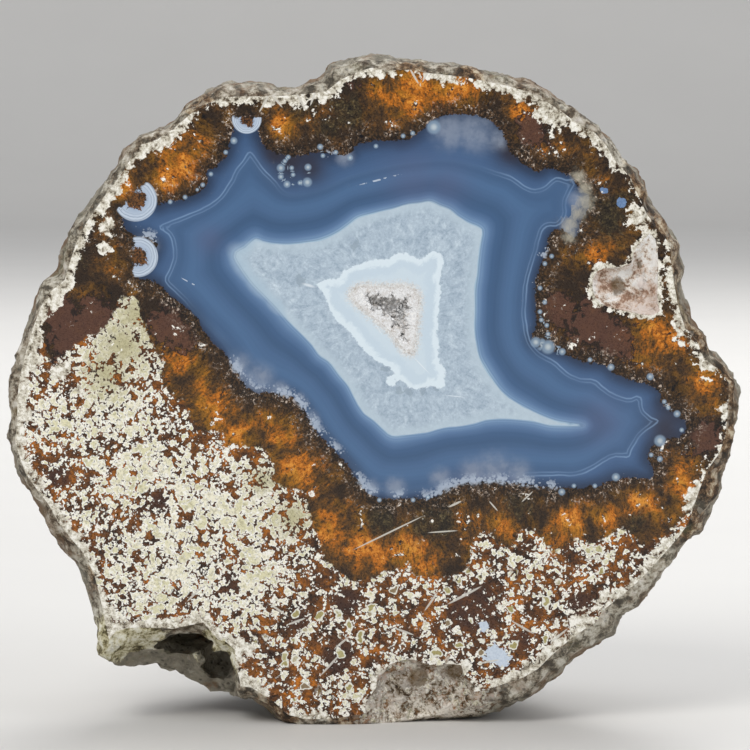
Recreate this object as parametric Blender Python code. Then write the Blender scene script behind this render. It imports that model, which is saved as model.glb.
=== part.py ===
"""Half of an agate nodule, sawn and polished, standing on its edge on a small flat spot.

The frame is in metres: +X to the right of the polished face, +Y into the stone, +Z up. The origin
is on the resting plane, under the middle of the stone. The polished face looks towards -Y.
Named sizes and outline points are in millimetres. In an outline, x is measured from the middle of
the face and z from the resting plane.
"""
import math
import random

import bmesh
import bpy
import numpy as np
from mathutils import Matrix, Vector, noise

MM = 0.001

# Driving sizes
DEPTH = 50.0
GIRTH_DEPTH = 9.0
FACE_Y = -24.0
POLE = (3.0, 47.0)
STATIONS = 112
FRONT_DEPTHS = (0.0, 0.9, 2.6, 5.4, GIRTH_DEPTH)
BACK_RINGS = 17
BACK_ROUNDNESS = 2.35
ROUNDING_SPAN = 13
KEEL_ROUNDNESS = 5.5
FACE_CELL = 5.0

# The widest outline of the stone, clockwise from the left, with the width of rind that shows
# between it and the edge of the polish
RIM = [
    (-54.9, 42.5, 2.3), (-53.8, 45.1, 1.6), (-53.9, 47.8, 1.7), (-53.6, 50.8, 1.6), (-52.7, 56.5, 2.0),
    (-51.1, 62.0, 2.2), (-50.2, 64.4, 2.4), (-48.9, 66.4, 2.4), (-47.1, 67.7, 2.5), (-46.0, 71.6, 2.4),
    (-43.6, 75.8, 2.1), (-42.1, 77.3, 1.9), (-41.3, 79.2, 1.9), (-38.5, 82.2, 1.8), (-36.4, 86.5, 2.2),
    (-34.9, 87.6, 1.9), (-33.1, 87.9, 2.0), (-31.7, 89.5, 2.2), (-30.1, 90.1, 2.0), (-28.4, 91.9, 2.0),
    (-26.2, 92.8, 2.0), (-24.6, 94.3, 2.1), (-22.2, 95.3, 2.3), (-18.6, 95.9, 2.7), (-15.3, 95.8, 2.6),
    (-12.9, 95.0, 1.8), (-10.2, 95.0, 1.5), (-8.0, 95.6, 2.1), (-6.9, 97.0, 2.8), (-5.2, 98.3, 2.7),
    (0.5, 99.3, 1.8), (2.9, 98.8, 1.8), (6.0, 98.9, 1.8), (9.5, 98.3, 1.8), (12.6, 98.3, 2.1),
    (15.7, 97.9, 2.2), (23.3, 95.5, 1.6), (28.6, 92.7, 1.7), (30.7, 90.9, 1.6), (33.3, 89.7, 1.6),
    (35.1, 88.0, 1.7), (36.8, 86.1, 1.7), (37.7, 84.3, 1.7), (39.6, 82.2, 1.6), (42.2, 76.7, 1.7),
    (45.8, 71.8, 1.6), (46.0, 69.1, 1.7), (47.8, 60.7, 1.9), (50.9, 56.8, 1.9), (50.7, 54.2, 1.8),
    (52.4, 53.9, 1.3), (53.9, 52.7, 1.6), (54.8, 50.3, 1.9), (54.5, 43.2, 2.0), (53.9, 39.9, 2.4),
    (52.6, 36.5, 3.3), (52.0, 33.4, 3.7), (50.6, 29.2, 3.8), (49.1, 27.0, 3.4), (42.0, 19.1, 3.3),
    (37.5, 15.0, 3.7), (37.2, 13.2, 4.2), (31.1, 8.5, 4.3), (27.9, 5.4, 4.3), (25.1, 3.5, 4.4),
    (17.7, 0.9, 4.7), (7.1, 0.6, 3.6), (-3.9, -1.2, 3.2), (-11.4, -0.6, 2.3), (-14.3, 0.9, 2.2),
    (-16.4, 2.6, 2.3), (-19.7, 3.8, 2.6), (-23.3, 3.6, 2.6), (-32.0, 7.0, 2.6), (-35.5, 7.3, 2.6),
    (-39.0, 8.5, 2.7), (-40.8, 10.3, 2.6), (-43.3, 21.4, 2.6), (-44.6, 23.9, 2.7), (-48.2, 28.2, 2.8),
    (-50.4, 32.4, 2.6), (-52.4, 35.0, 2.5), (-53.5, 37.5, 2.3),
]

# The open hollow in the quartz, and how it narrows inwards: (depth, scale)
HOLLOW = [
    (-2.7, 64.3), (-0.8, 65.2), (2.1, 65.0), (4.3, 65.2), (6.4, 64.6), (7.0, 63.2), (6.7, 60.3),
    (6.4, 57.3), (6.0, 55.6), (4.8, 56.1), (3.5, 58.1), (1.4, 60.0), (-0.7, 61.8), (-2.3, 63.2),
]
HOLLOW_STEPS = [(-1.0, 1.06), (0.0, 1.0), (1.6, 0.98), (3.2, 0.88), (4.4, 0.66), (5.0, 0.34)]

# The chalky pocket at the right of the face, a shallow pit
POCKET = [
    (39.3, 71.2), (41.3, 73.1), (42.2, 71.2), (42.4, 67.7), (42.3, 63.5), (42.6, 61.3), (40.5, 61.0),
    (38.3, 61.5), (35.3, 62.1), (33.4, 63.2), (32.7, 65.3), (33.1, 67.2), (34.7, 68.0), (36.8, 68.1),
    (38.5, 68.8), (38.8, 70.3),
]
POCKET_STEPS = [(-1.0, 1.1), (0.0, 1.0), (0.9, 0.86), (1.5, 0.5)]

# Broken places, as lumps cut out of the stone: centre (x, depth, z), radii, tilt in degrees about X
CHIP = ((7.4, -0.2, 3.4), (7.6, 2.6, 6.4), 10)
CORNER_BREAK = ((-31.0, -2.2, 4.6), (12.2, 14.0, 9.4), -40)
CAVITY = ((-27.4, 7.0, 12.0), (4.7, 7.0, 2.0), 12)
CAVITY_MOUTH = ((-22.8, 6.0, 8.4), (2.5, 6.0, 3.0), 0)

# The knobs of the rind
KNOB_SIZE = 13.0
KNOB_HEIGHT = 3.4
LUMP_SIZE = 20.0
LUMP_HEIGHT = 3.4
GRAIN_SIZE = 5.5
GRAIN_HEIGHT = 1.3

# The low belly that the stone rests on: centre (x, depth), radii, and how far it hangs
BELLY = ((-0.5, 20.0), (17.0, 17.0), 3.6)

# The crust of quartz points; each layer is (scale of the hollow's wall, lift off its bottom)
CRUST_RIM_DEPTH = 0.3
CRUST_LIMIT = (0.94, 0.25)
CRUST_BACK = (0.91, 0.35)
CRUST_FOOT = (0.79, 0.90)
CRUST_FRONT = (0.74, 1.20)
CRUST_STATIONS = 26
CRUST_POINTS = ((0.18, 15), (0.44, 12), (0.72, 9), (0.92, 5))
POINT_SEED = 10
POINT_RADII = (0.48, 0.78)
POINT_HEIGHTS = (0.85, 1.45)


def clear_scene():
    """Start from an empty scene."""
    for thing in list(bpy.data.objects):
        bpy.data.objects.remove(thing, do_unlink=True)


def closed_curve(points, count):
    """Even stations on a smooth closed curve through the points; every column is carried along."""
    points = np.array(points, dtype=float)
    steps = np.linspace(0.0, 1.0, 12, endpoint=False)[:, None]
    stretches = []
    for i in range(len(points)):
        before, start, end, after = (points[(i + k) % len(points)] for k in (-1, 0, 1, 2))
        stretches.append(0.5 * (
            2 * start
            + (end - before) * steps
            + (2 * before - 5 * start + 4 * end - after) * steps ** 2
            + (3 * start - before - 3 * end + after) * steps ** 3
        ))
    fine = np.vstack(stretches + [points[:1]])
    gaps = np.linalg.norm(np.diff(fine[:, :2], axis=0), axis=1)
    travelled = np.concatenate([[0.0], np.cumsum(gaps)])
    places = np.linspace(0.0, travelled[-1], count, endpoint=False)
    return np.column_stack([np.interp(places, travelled, column) for column in fine.T])


def inward(outline, distance):
    """A clockwise outline moved inwards, square to itself, by a distance at each station."""
    along = np.roll(outline, -1, axis=0) - np.roll(outline, 1, axis=0)
    along /= np.linalg.norm(along, axis=1)[:, None]
    return outline + np.column_stack([along[:, 1], -along[:, 0]]) * np.reshape(distance, (-1, 1))


def smooth_step(value, start, end):
    """0 before the start, 1 after the end, with a soft rise between."""
    t = np.clip((value - start) / (end - start), 0.0, 1.0)
    return t * t * (3 - 2 * t)


def body_rings():
    """Rings of (x, depth, z) from the edge of the polish, round the girth, to near the back pole."""
    rim = closed_curve(RIM, STATIONS)
    girth = rim[:, :2]
    rind = rim[:, 2]
    pole = np.array(POLE)
    rings = []
    for depth in FRONT_DEPTHS:
        rise = 1 - math.sqrt(1 - (1 - depth / GIRTH_DEPTH) ** 2)
        outline = inward(girth, rind * rise)
        rings.append(np.column_stack([outline[:, 0], np.full(STATIONS, depth), outline[:, 1]]))
    away = girth - pole
    round_away = sum(np.roll(away, k, axis=0) for k in range(-ROUNDING_SPAN, ROUNDING_SPAN + 1))
    round_away = round_away / (2 * ROUNDING_SPAN + 1) * 1.04
    downness = smooth_step(-away[:, 1] / np.linalg.norm(away, axis=1), 0.55, 0.95)
    roundness = BACK_ROUNDNESS + (KEEL_ROUNDNESS - BACK_ROUNDNESS) * downness
    for step in range(1, BACK_RINGS + 1):
        reach = math.sin(math.pi / 2 * step / (BACK_RINGS + 0.8))
        depth = GIRTH_DEPTH + (DEPTH - GIRTH_DEPTH) * reach
        scale = (1 - reach ** roundness) ** (1 / roundness)
        calm = float(smooth_step(reach, 0.05, 0.6))
        outline = pole + (away * (1 - calm) + round_away * calm) * scale[:, None]
        rings.append(np.column_stack([outline[:, 0], np.full(STATIONS, depth), outline[:, 1]]))
    return rings


def roughness_depth(point):
    """How far the rind lies below the smooth body at a point, from its knobs, lumps and grain."""
    here = Vector(point)
    near = noise.voronoi(here / KNOB_SIZE)[0][0]
    knobs = KNOB_HEIGHT * min(1.0, near) ** 1.4
    lumps = LUMP_HEIGHT * (0.5 - 0.5 * noise.noise(here / LUMP_SIZE))
    grain = GRAIN_HEIGHT * (0.5 - 0.5 * noise.noise(here / GRAIN_SIZE))
    return knobs + lumps + grain


def roughen(point):
    """Sink a point of the smooth body to the rough rind; the girth and the polish stay as drawn."""
    x, depth, z = point
    strength = 0.12 * float(smooth_step(depth, 0.0, 5.0)) + 0.88 * float(smooth_step(depth, GIRTH_DEPTH, 21.0))
    outward = Vector((x - POLE[0], (depth - 20.0) * 1.1, z - POLE[1])).normalized()
    low = float(smooth_step(-z, -16.0, 0.0))
    sunk = Vector(point) - outward * roughness_depth(point) * strength * (1 - 0.6 * low)
    (belly_x, belly_depth), (across, along), hang = BELLY
    spread = ((x - belly_x) / across) ** 2 + ((depth - belly_depth) / along) ** 2
    sunk.z -= hang * low * math.exp(-spread)
    return sunk


def to_frame(point):
    """A point (x, depth, z) in millimetres as a place in the part's frame, in metres."""
    return Vector((point[0], FACE_Y + point[1], point[2])) * MM


def bridge(mesh, near, far):
    """Join two rings of vertices with a band of quads."""
    count = len(near)
    for i in range(count):
        j = (i + 1) % count
        mesh.faces.new((near[i], near[j], far[j], far[i]))


def loft(mesh, rings):
    """A closed body through rings of places, capped at both ends; the far cap rises to a point."""
    loops = [[mesh.verts.new(place) for place in ring] for ring in rings]
    for near, far in zip(loops, loops[1:]):
        bridge(mesh, near, far)
    mesh.faces.new(loops[0])
    bmesh.ops.poke(mesh, faces=[mesh.faces.new(loops[-1])])
    bmesh.ops.recalc_face_normals(mesh, faces=mesh.faces)


def flatten_rest(mesh):
    """Cut the underside off at the resting plane and close the cut with one flat face."""
    everything = list(mesh.verts) + list(mesh.edges) + list(mesh.faces)
    cut = bmesh.ops.bisect_plane(
        mesh, geom=everything, dist=1e-6, plane_co=(0, 0, 0), plane_no=(0, 0, -1), clear_outer=True)
    edges = [part for part in cut["geom_cut"] if isinstance(part, bmesh.types.BMEdge)]
    bmesh.ops.holes_fill(mesh, edges=edges)


def rule_face(mesh):
    """Divide the polished face by upright and level lines, so that its triangles stay compact."""
    reach = [(Vector((1, 0, 0)), -55.0, 55.0), (Vector((0, 0, 1)), 0.0, 100.0)]
    for direction, first, last in reach:
        for place in np.arange(first + FACE_CELL, last, FACE_CELL):
            front = [face for face in mesh.faces if face.normal.y < -0.999]
            parts = set(front)
            for face in front:
                parts.update(face.edges)
                parts.update(face.verts)
            bmesh.ops.bisect_plane(
                mesh, geom=list(parts), dist=1e-6, plane_co=direction * float(place) * MM, plane_no=direction)
            mesh.normal_update()


def new_object(name, mesh_builder, material=None):
    """An object whose mesh is built by a function that fills a bmesh."""
    shape = bmesh.new()
    mesh_builder(shape)
    data = bpy.data.meshes.new(name)
    shape.to_mesh(data)
    shape.free()
    thing = bpy.data.objects.new(name, data)
    bpy.context.scene.collection.objects.link(thing)
    if material:
        data.materials.append(material)
    return thing


def as_guide(thing):
    """Mark an object as a tool that shapes others and isn't part of the model."""
    thing.hide_render = True
    thing.display_type = "WIRE"
    return thing


def tapered_pit(name, outline, steps, count):
    """A cutter that narrows inwards from an outline on the face, by (depth, scale) steps."""
    stations = closed_curve(outline, count)
    middle = stations.mean(axis=0)

    def fill(mesh):
        rings = []
        for depth, scale in steps:
            ring = middle + (stations - middle) * scale
            rings.append([to_frame((x, depth, z)) for x, z in ring])
        loft(mesh, rings)

    return as_guide(new_object(name, fill))


def rough_lump(name, lump, seed):
    """A cutter for a broken place: a rounded block with an uneven skin."""
    centre, radii, tilt = lump

    def fill(mesh):
        bmesh.ops.create_icosphere(mesh, subdivisions=3, radius=1.0)
        turn = Matrix.Rotation(math.radians(tilt), 4, "X")
        for vertex in mesh.verts:
            blocky = Vector([math.copysign(abs(value) ** 0.75, value) for value in vertex.co])
            size = 1 + 0.22 * noise.noise(vertex.co * 2.3 + Vector((seed, 0, 0)))
            body = Vector([value * radius for value, radius in zip(blocky * size, radii)])
            vertex.co = to_frame(turn @ body + Vector(centre))

    return as_guide(new_object(name, fill))


def combine(thing, tool, operation):
    """Cut an object with a tool, join them, or keep what they share."""
    step = thing.modifiers.new(tool.name, "BOOLEAN")
    step.operation = operation
    step.solver = "EXACT"
    step.use_self = operation == "UNION"
    step.object = tool


def make_material(name, colour, roughness):
    """A plain material with the part's colour."""
    material = bpy.data.materials.new(name)
    material.use_nodes = True
    shader = material.node_tree.nodes["Principled BSDF"]
    shader.inputs["Base Color"].default_value = (*colour, 1.0)
    shader.inputs["Roughness"].default_value = roughness
    shader.inputs["Metallic"].default_value = 0.0
    return material


def make_stone():
    """The nodule half: polished face, knobbly rind, flat rest spot, pits and broken places."""
    def fill(mesh):
        rings = body_rings()
        loft(mesh, [[to_frame(roughen(point)) for point in ring] for ring in rings])
        flatten_rest(mesh)
        mesh.normal_update()
        rule_face(mesh)

    stone = new_object("stone", fill, make_material("stone", (0.34, 0.27, 0.19), 0.55))
    combine(stone, tapered_pit("hollow_cutter", HOLLOW, HOLLOW_STEPS, CRUST_STATIONS), "DIFFERENCE")
    combine(stone, tapered_pit("pocket_cutter", POCKET, POCKET_STEPS, 28), "DIFFERENCE")
    combine(stone, rough_lump("chip_cutter", CHIP, 3.0), "DIFFERENCE")
    combine(stone, rough_lump("corner_cutter", CORNER_BREAK, 11.0), "DIFFERENCE")
    combine(stone, rough_lump("cavity_cutter", CAVITY, 19.0), "DIFFERENCE")
    combine(stone, rough_lump("cavity_mouth_cutter", CAVITY_MOUTH, 27.0), "DIFFERENCE")
    stone.data.shade_smooth()
    stone.data.set_sharp_from_angle(angle=math.radians(38))
    return stone


def hollow_wall(layer):
    """Rings of a layer inside the hollow, a scaled and lifted copy of its wall, from rim to bottom."""
    shrink, lift = layer
    stations = closed_curve(HOLLOW, CRUST_STATIONS)
    middle = stations.mean(axis=0)
    rings = []
    for depth, scale in HOLLOW_STEPS[1:]:
        ring = middle + (stations - middle) * scale * shrink
        level = max(depth - lift, CRUST_RIM_DEPTH)
        rings.append(np.column_stack([ring[:, 0], np.full(CRUST_STATIONS, level), ring[:, 1]]))
    return rings


def fill_dish(mesh):
    """The base of the crust: a closed dish that follows the hollow's wall with a small gap."""
    shell = hollow_wall(CRUST_BACK)[::-1] + hollow_wall(CRUST_FRONT)
    loft(mesh, [[to_frame(point) for point in ring] for ring in shell])


def wall_place(rings, down, around):
    """A place on the hollow's wall and the direction into the open, by the way down and around."""
    position = down * (len(rings) - 1)
    lower = min(int(position), len(rings) - 2)
    blend = position - lower
    ring = rings[lower] * (1 - blend) + rings[lower + 1] * blend
    index = int(around * CRUST_STATIONS) % CRUST_STATIONS
    place = Vector(ring[index])
    middle = Vector((rings[0][:, 0].mean(), 0.6 - 2.2 * down, rings[0][:, 2].mean()))
    return place, (middle - place).normalized()


def add_point(mesh, foot, direction, radius, height, spin):
    """One six-sided quartz point: a short prism with a pyramid on it, cut flush with the rim."""
    turn = direction.to_track_quat("Z", "Y").to_matrix().to_4x4()
    shape = Matrix.Translation(foot) @ turn @ Matrix.Rotation(spin, 4, "Z")

    def vertex(place):
        x, depth, z = shape @ place
        return mesh.verts.new(to_frame((x, max(depth, CRUST_RIM_DEPTH), z)))

    corners = [Vector((math.cos(k * math.pi / 3), math.sin(k * math.pi / 3), 0)) * radius for k in range(6)]
    low = [vertex(corner) for corner in corners]
    high = [vertex(corner + Vector((0, 0, height * 0.45))) for corner in corners]
    tip = vertex(Vector((0, 0, height)))
    mesh.faces.new(low[::-1])
    for i in range(6):
        j = (i + 1) % 6
        mesh.faces.new((low[i], low[j], high[j], high[i]))
        mesh.faces.new((high[i], high[j], tip))


def fill_points(mesh):
    """The quartz points, in rows down the wall of the hollow, leaning inwards."""
    chance = random.Random(POINT_SEED)
    rings = hollow_wall(CRUST_FOOT)
    for down, count in CRUST_POINTS:
        for i in range(count):
            around = (i + chance.uniform(0.2, 0.8)) / count
            place, direction = wall_place(rings, down + chance.uniform(-0.05, 0.05), around)
            lean = Vector([chance.uniform(-0.35, 0.35) for _ in range(3)])
            add_point(
                mesh, place, (direction + lean).normalized(), chance.uniform(*POINT_RADII),
                chance.uniform(*POINT_HEIGHTS), chance.uniform(0, math.pi))
    bmesh.ops.recalc_face_normals(mesh, faces=mesh.faces)


def fill_limit(mesh):
    """The space inside the hollow that the crust may fill."""
    loft(mesh, [[to_frame(point) for point in ring] for ring in hollow_wall(CRUST_LIMIT)])


def make_crust():
    """The druse: small quartz points grown together on a dish that lines the hollow."""
    crust = new_object("crystal_crust", fill_dish, make_material("quartz", (0.78, 0.79, 0.78), 0.15))
    combine(crust, as_guide(new_object("crust_points", fill_points)), "UNION")
    combine(crust, as_guide(new_object("crust_limit", fill_limit)), "INTERSECT")
    return crust


def main():
    clear_scene()
    make_stone()
    make_crust()


main()
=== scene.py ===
"""An agate half nodule: a sawn and polished face on a rough, domed stone, with a small lined hollow.

Sizes that a maker gives are in millimetres. The markings of the polished face are curves and spots on
its plane, x to the right and z up. Their distances are kept on the mesh as attributes, and the
materials turn those into bands, fringes and grains.
"""
import math

import bmesh
import bpy
import numpy as np
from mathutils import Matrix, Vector
from mathutils.kdtree import KDTree


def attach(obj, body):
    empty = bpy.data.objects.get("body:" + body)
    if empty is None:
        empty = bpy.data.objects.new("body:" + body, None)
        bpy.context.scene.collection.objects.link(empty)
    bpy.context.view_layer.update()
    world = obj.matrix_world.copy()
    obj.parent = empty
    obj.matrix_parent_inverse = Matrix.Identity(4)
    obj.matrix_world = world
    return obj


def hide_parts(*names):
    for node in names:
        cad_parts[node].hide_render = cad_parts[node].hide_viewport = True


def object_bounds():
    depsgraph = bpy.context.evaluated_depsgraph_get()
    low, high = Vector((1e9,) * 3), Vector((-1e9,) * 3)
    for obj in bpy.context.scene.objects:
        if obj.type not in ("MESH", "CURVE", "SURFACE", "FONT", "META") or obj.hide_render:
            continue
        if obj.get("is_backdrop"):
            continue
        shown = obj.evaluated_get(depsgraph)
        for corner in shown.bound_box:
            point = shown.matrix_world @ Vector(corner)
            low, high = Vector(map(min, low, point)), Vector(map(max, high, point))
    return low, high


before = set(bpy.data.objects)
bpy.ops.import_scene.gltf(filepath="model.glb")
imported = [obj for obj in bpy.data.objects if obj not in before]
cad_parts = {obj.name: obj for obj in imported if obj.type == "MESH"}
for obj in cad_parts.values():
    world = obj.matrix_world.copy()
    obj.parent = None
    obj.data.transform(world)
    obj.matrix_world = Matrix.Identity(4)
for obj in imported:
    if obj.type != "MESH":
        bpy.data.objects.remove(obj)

bl_info = {
    "name": "Agate half nodule",
    "version": (1, 0, 0),
    "blender": (4, 5, 0),
    "location": "3D View > Sidebar > Agate",
    "description": "Dresses the packed half nodule as cut and polished agate",
    "category": "Object",
}

MM = 0.001
CAD_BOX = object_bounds()

# The polished face lies in this plane, and its edge is never moved
FACE_Y = -24.0
FACE_SLACK = 0.02
# Material slots of the stone: the polished shore where bands meet jasper, the bands, the jasper and
# matrix, and the rough rind. The shore reaches so many mm to either side of the contact.
POLISHED, BANDED, SPECKLED, ROUGH = 0, 1, 2, 3
SHORE_WIDTH = 1.6
# The polished face is first cut into cells of this size
FACE_CELL = 6.0 * MM
# How far around a small mark the mesh is finer
MARK_REACH = 0.9 * MM
# Points nearer to each other than this are joined
SAME_PLACE = 0.002 * MM
# Rows of splitting that are enough for any edge, and for the small marks
SPLITS = 9
MARK_SPLITS = 2

# The rind's displacements: name, texture, its grain in mm, the setting with the height, and its options
RIND_LAYERS = (
    ("rind knobs", "CLOUDS", 11.0, "rind_knobs", {"noise_depth": 1}),
    ("rind lumps", "CLOUDS", 4.2, "rind_lumps", {"noise_depth": 2}),
    ("rind grain", "CLOUDS", 1.5, "rind_grain", {"noise_depth": 2}),
    ("rind pits", "VORONOI", 2.4, "rind_pits", {}),
)
# The rind becomes rough over this depth behind the face, and over this height above the floor
ROUGH_DEPTH = 1.2
ROUGH_HEIGHT = 1.5
# Weights are given to the rough group in so many steps
WEIGHT_STEPS = 20
# Edges of the rind sharper than this stay sharp
SHARP_ANGLE = math.radians(50)

# Crystals grow on faces that look out of the hollow by more than this
OPEN_SIDE = -0.1
# Crystals: seed of the chances, spread of their lean, of their seat and of their size
CRYSTAL_SEED = 7
CRYSTAL_LEAN = 0.35
CRYSTAL_SHIFT = 0.25 * MM
CRYSTAL_SIZES = (0.6, 1.4)
# A crystal has six sides, its foot is sunk and its neck stands out by these shares of its height
CRYSTAL_SIDES = 6
CRYSTAL_FOOT = 0.4
CRYSTAL_NECK = 0.25
# Crystals are this much more frequent within so many mm of the face, and none comes nearer than this
RIM_SHARE = 3.0
RIM_DEPTH = 0.5
CRYSTAL_BEHIND = 0.03

# The studio, in metres: radius of the floor, and radius and steps of the curve at its edge
FLOOR_RADIUS = 2.2
FLOOR_SIDES = 96
FLOOR_CURVE = 0.5
FLOOR_STEPS = 8
# Lamps: name, place, aim, width, power and colour
LAMPS = (
    ("key lamp", (-0.45, -0.8, 0.85), (0.0, 0.0, 0.05), 0.6, 8.2, (1.0, 0.99, 0.97)),
    ("fill lamp", (0.9, -0.6, 0.5), (0.0, 0.0, 0.05), 0.8, 4.4, (0.97, 0.98, 1.0)),
    ("back lamp", (0.2, 0.9, 0.9), (0.0, 0.0, 0.05), 0.6, 6.0, (1.0, 1.0, 1.0)),
    ("wall lamp", (0.0, 0.6, 1.6), (0.0, 2.3, 0.2), 1.6, 20.0, (1.0, 1.0, 1.0)),
)
AIR_COLOUR = (0.9, 0.93, 1.0, 1.0)
AIR_STRENGTH = 0.34
# The camera: where it is and what it looks at in mm, its focal length and its sensor's width
CAMERA_PLACE = (0.66, -622.54, 94.0)
CAMERA_AIM = (0.66, -24.0, 52.15)
CAMERA_LENS = 195.0
CAMERA_SENSOR = 36.0

# The opening of the hollow and the chalky pocket, as x, z on the face
HOLLOW = (
    (-2.7, 64.3), (-0.8, 65.2), (2.1, 65.0), (4.3, 65.2), (6.4, 64.6), (7.0, 63.2), (6.7, 60.3),
    (6.4, 57.3), (6.0, 55.6), (4.8, 56.1), (3.5, 58.1), (1.4, 60.0), (-0.7, 61.8), (-2.3, 63.2),
)
POCKET = (
    (39.3, 71.2), (41.3, 73.1), (42.2, 71.2), (42.4, 67.7), (42.3, 63.5), (42.6, 61.3), (40.5, 61.0),
    (38.3, 61.5), (35.3, 62.1), (33.4, 63.2), (32.7, 65.3), (33.1, 67.2), (34.7, 68.0), (36.8, 68.1),
    (38.5, 68.8), (38.8, 70.3),
)

# Where the chalcedony meets the jasper
CONTACT = (
    (-30.2, 64.4), (-31.3, 65.6), (-33.1, 66.3), (-34.6, 66.5), (-33.4, 68), (-32.2, 69.7),
    (-31.5, 71.4), (-32.5, 72.4), (-34.8, 72.7), (-36.3, 73.9), (-36.3, 75.5), (-35.1, 76.8),
    (-33.4, 77.8), (-31.7, 78.4), (-31.3, 77.2), (-30.1, 77.7), (-28.1, 78), (-26.3, 78.6),
    (-24.7, 79.5), (-24.1, 80.9), (-24.2, 82.1), (-22.7, 83), (-21.3, 84.5), (-20.7, 86.4),
    (-20.1, 88.3), (-19.5, 89.4), (-18.3, 90.2), (-16.8, 89.2), (-16.3, 87.1), (-15.1, 85.6),
    (-13, 84.7), (-10.4, 84.5), (-7.7, 85), (-5.2, 84.7), (-3.3, 84.7), (-2.1, 86.1), (0.2, 86.7),
    (3.2, 86.9), (4.6, 86.7), (6.4, 87.4), (7.9, 88.7), (9.6, 90), (12.4, 90.6), (15.4, 90.5),
    (17.7, 89.6), (19.5, 87.8), (20.1, 86.2), (21.1, 84.6), (22.9, 83), (24.9, 82.2), (26.4, 82.8),
    (27.9, 82.2), (29.7, 81.4), (30.8, 79.9), (32.2, 78.6), (32, 76.8), (31, 75), (30.4, 72.4),
    (29.4, 72.7), (28.2, 73.7), (26.6, 73), (26, 70.9), (25.3, 68.8), (24.5, 66.6), (24.3, 64.1),
    (24.4, 61.8), (24.6, 59.5), (23.8, 57.6), (25, 56.3), (27.2, 55.8), (29.2, 55.1), (31.2, 54.2),
    (33.3, 53.9), (34.8, 53.5), (36.3, 52.3), (38.6, 51.4), (41.3, 50.7), (42.8, 49.6),
    (42.9, 47.9), (44.6, 46.7), (46.3, 45.6), (46.8, 44.3), (45.8, 43), (43.4, 42.5), (41.6, 41.5),
    (41, 39.8), (41.9, 38.1), (41.1, 36.7), (38.4, 36.9), (36, 36.6), (33.7, 35.7), (30.7, 35.4),
    (27.4, 35.4), (24.8, 35.7), (22.1, 36), (19.2, 36.3), (16.2, 36.3), (13.5, 36), (11.2, 35.2),
    (9.4, 34), (7, 33.8), (4.4, 33.8), (1.7, 33.8), (-0.2, 34.5), (-1.9, 36.6), (-3.5, 38.8),
    (-5.4, 40.9), (-7.5, 43.1), (-8.9, 45.2), (-10.1, 47.3), (-11.8, 48.9), (-14.6, 49.5),
    (-17.2, 49.6), (-18.8, 51), (-20.2, 53.2), (-21.6, 55.4), (-23.4, 57), (-24.9, 59.1),
    (-26.2, 61.2), (-28.1, 62.8),
)

# The thin white line in the chalcedony
LINE = (
    (-17.7, 85), (-18.6, 83.9), (-19.8, 82.4), (-20.7, 80.6), (-22, 78.7), (-24.2, 77), (-27, 75.8),
    (-29.2, 74.9), (-31.2, 74), (-29.8, 73), (-29.1, 71.5), (-29, 69.4), (-29.6, 67.7),
    (-30.2, 65.9), (-28.1, 63.8), (-25.2, 60.6), (-21.9, 56.9), (-18.7, 52.6), (-16, 50.8),
    (-11.9, 49.3), (-9.5, 47), (-6.6, 42.8), (-2.7, 38.4), (-0.1, 35.4), (4.4, 34.6), (8.8, 35.1),
    (11.5, 36.6), (16.2, 37.2), (22.1, 37.2), (27.4, 37.3), (30.4, 37.3), (32.8, 38.2),
    (34.5, 39.3), (36.3, 40.1), (38.1, 40), (38.7, 41.3), (40.1, 43.4), (42.5, 45.2), (41.6, 45.8),
    (40.3, 47), (39.8, 49), (38.3, 48.6), (36.6, 49), (34.5, 50.2), (33, 51.4), (30.9, 51.6),
    (28.9, 52.6), (27.1, 54.2), (25, 55.3), (23.5, 57.3), (22.9, 60.3), (22.9, 63.8), (23.5, 67.4),
    (24.4, 70.3), (25.1, 73), (26.1, 74.2), (27.6, 74.3), (28.8, 75.9), (28.8, 78), (30.2, 80.9),
    (29.1, 80.8), (27.3, 81.2), (25.7, 80), (24.1, 79.5), (22.3, 80.3), (20.5, 81.5), (18.5, 82.1),
    (16.1, 83), (11.7, 83.9), (7.3, 83.6), (2.9, 83), (-3, 81.5), (-7.4, 79.5), (-11.9, 78.9),
    (-13.9, 80.6), (-15.4, 82.1), (-16.3, 83.3),
)

# The outer edge of the quartz
QUARTZ = (
    (-16.9, 72.1), (-16, 71.8), (-14.1, 71.5), (-11.9, 71.4), (-9.7, 71.6), (-7.7, 71.9),
    (-6, 72.5), (-4.5, 73.3), (-3, 74.4), (-1.8, 75.3), (-0.1, 75.8), (2.1, 76.4), (3.8, 76.8),
    (5.5, 77.3), (7.3, 77.5), (8.8, 77.7), (10.2, 77.1), (11.7, 76.5), (12.9, 75.5), (14.4, 74.6),
    (15.8, 74), (16.4, 73.3), (16.1, 71.4), (15.8, 69.1), (15.6, 66.9), (15.3, 64.7), (15.3, 61.8),
    (15.3, 58.8), (15.6, 56.6), (16, 54.7), (16.8, 53.2), (17.6, 51.9), (19.1, 49.9), (20.9, 48.4),
    (22.8, 47.3), (25, 46.2), (27.3, 45.3), (29.5, 44.9), (31.4, 44.7), (28.7, 44.7), (26.5, 44.8),
    (24.3, 45.3), (21.4, 45.6), (19.1, 45.7), (16.9, 45.5), (15.4, 45), (13.2, 44.6), (11, 44.4),
    (9.5, 44), (8.1, 43.6), (5.8, 43.4), (3.3, 43.2), (2.1, 44), (0.7, 45.3), (-0.8, 46.4),
    (-1.6, 47.4), (-2.3, 48.7), (-3.3, 50.7), (-4.5, 52.1), (-6, 54.1), (-7.5, 55.1), (-8.6, 56.6),
    (-10.4, 58.5), (-11.9, 60), (-13.6, 62.1), (-15.4, 64), (-17.3, 66), (-18.8, 68.1),
    (-19.7, 69.9), (-18.4, 70.8),
)

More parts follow.
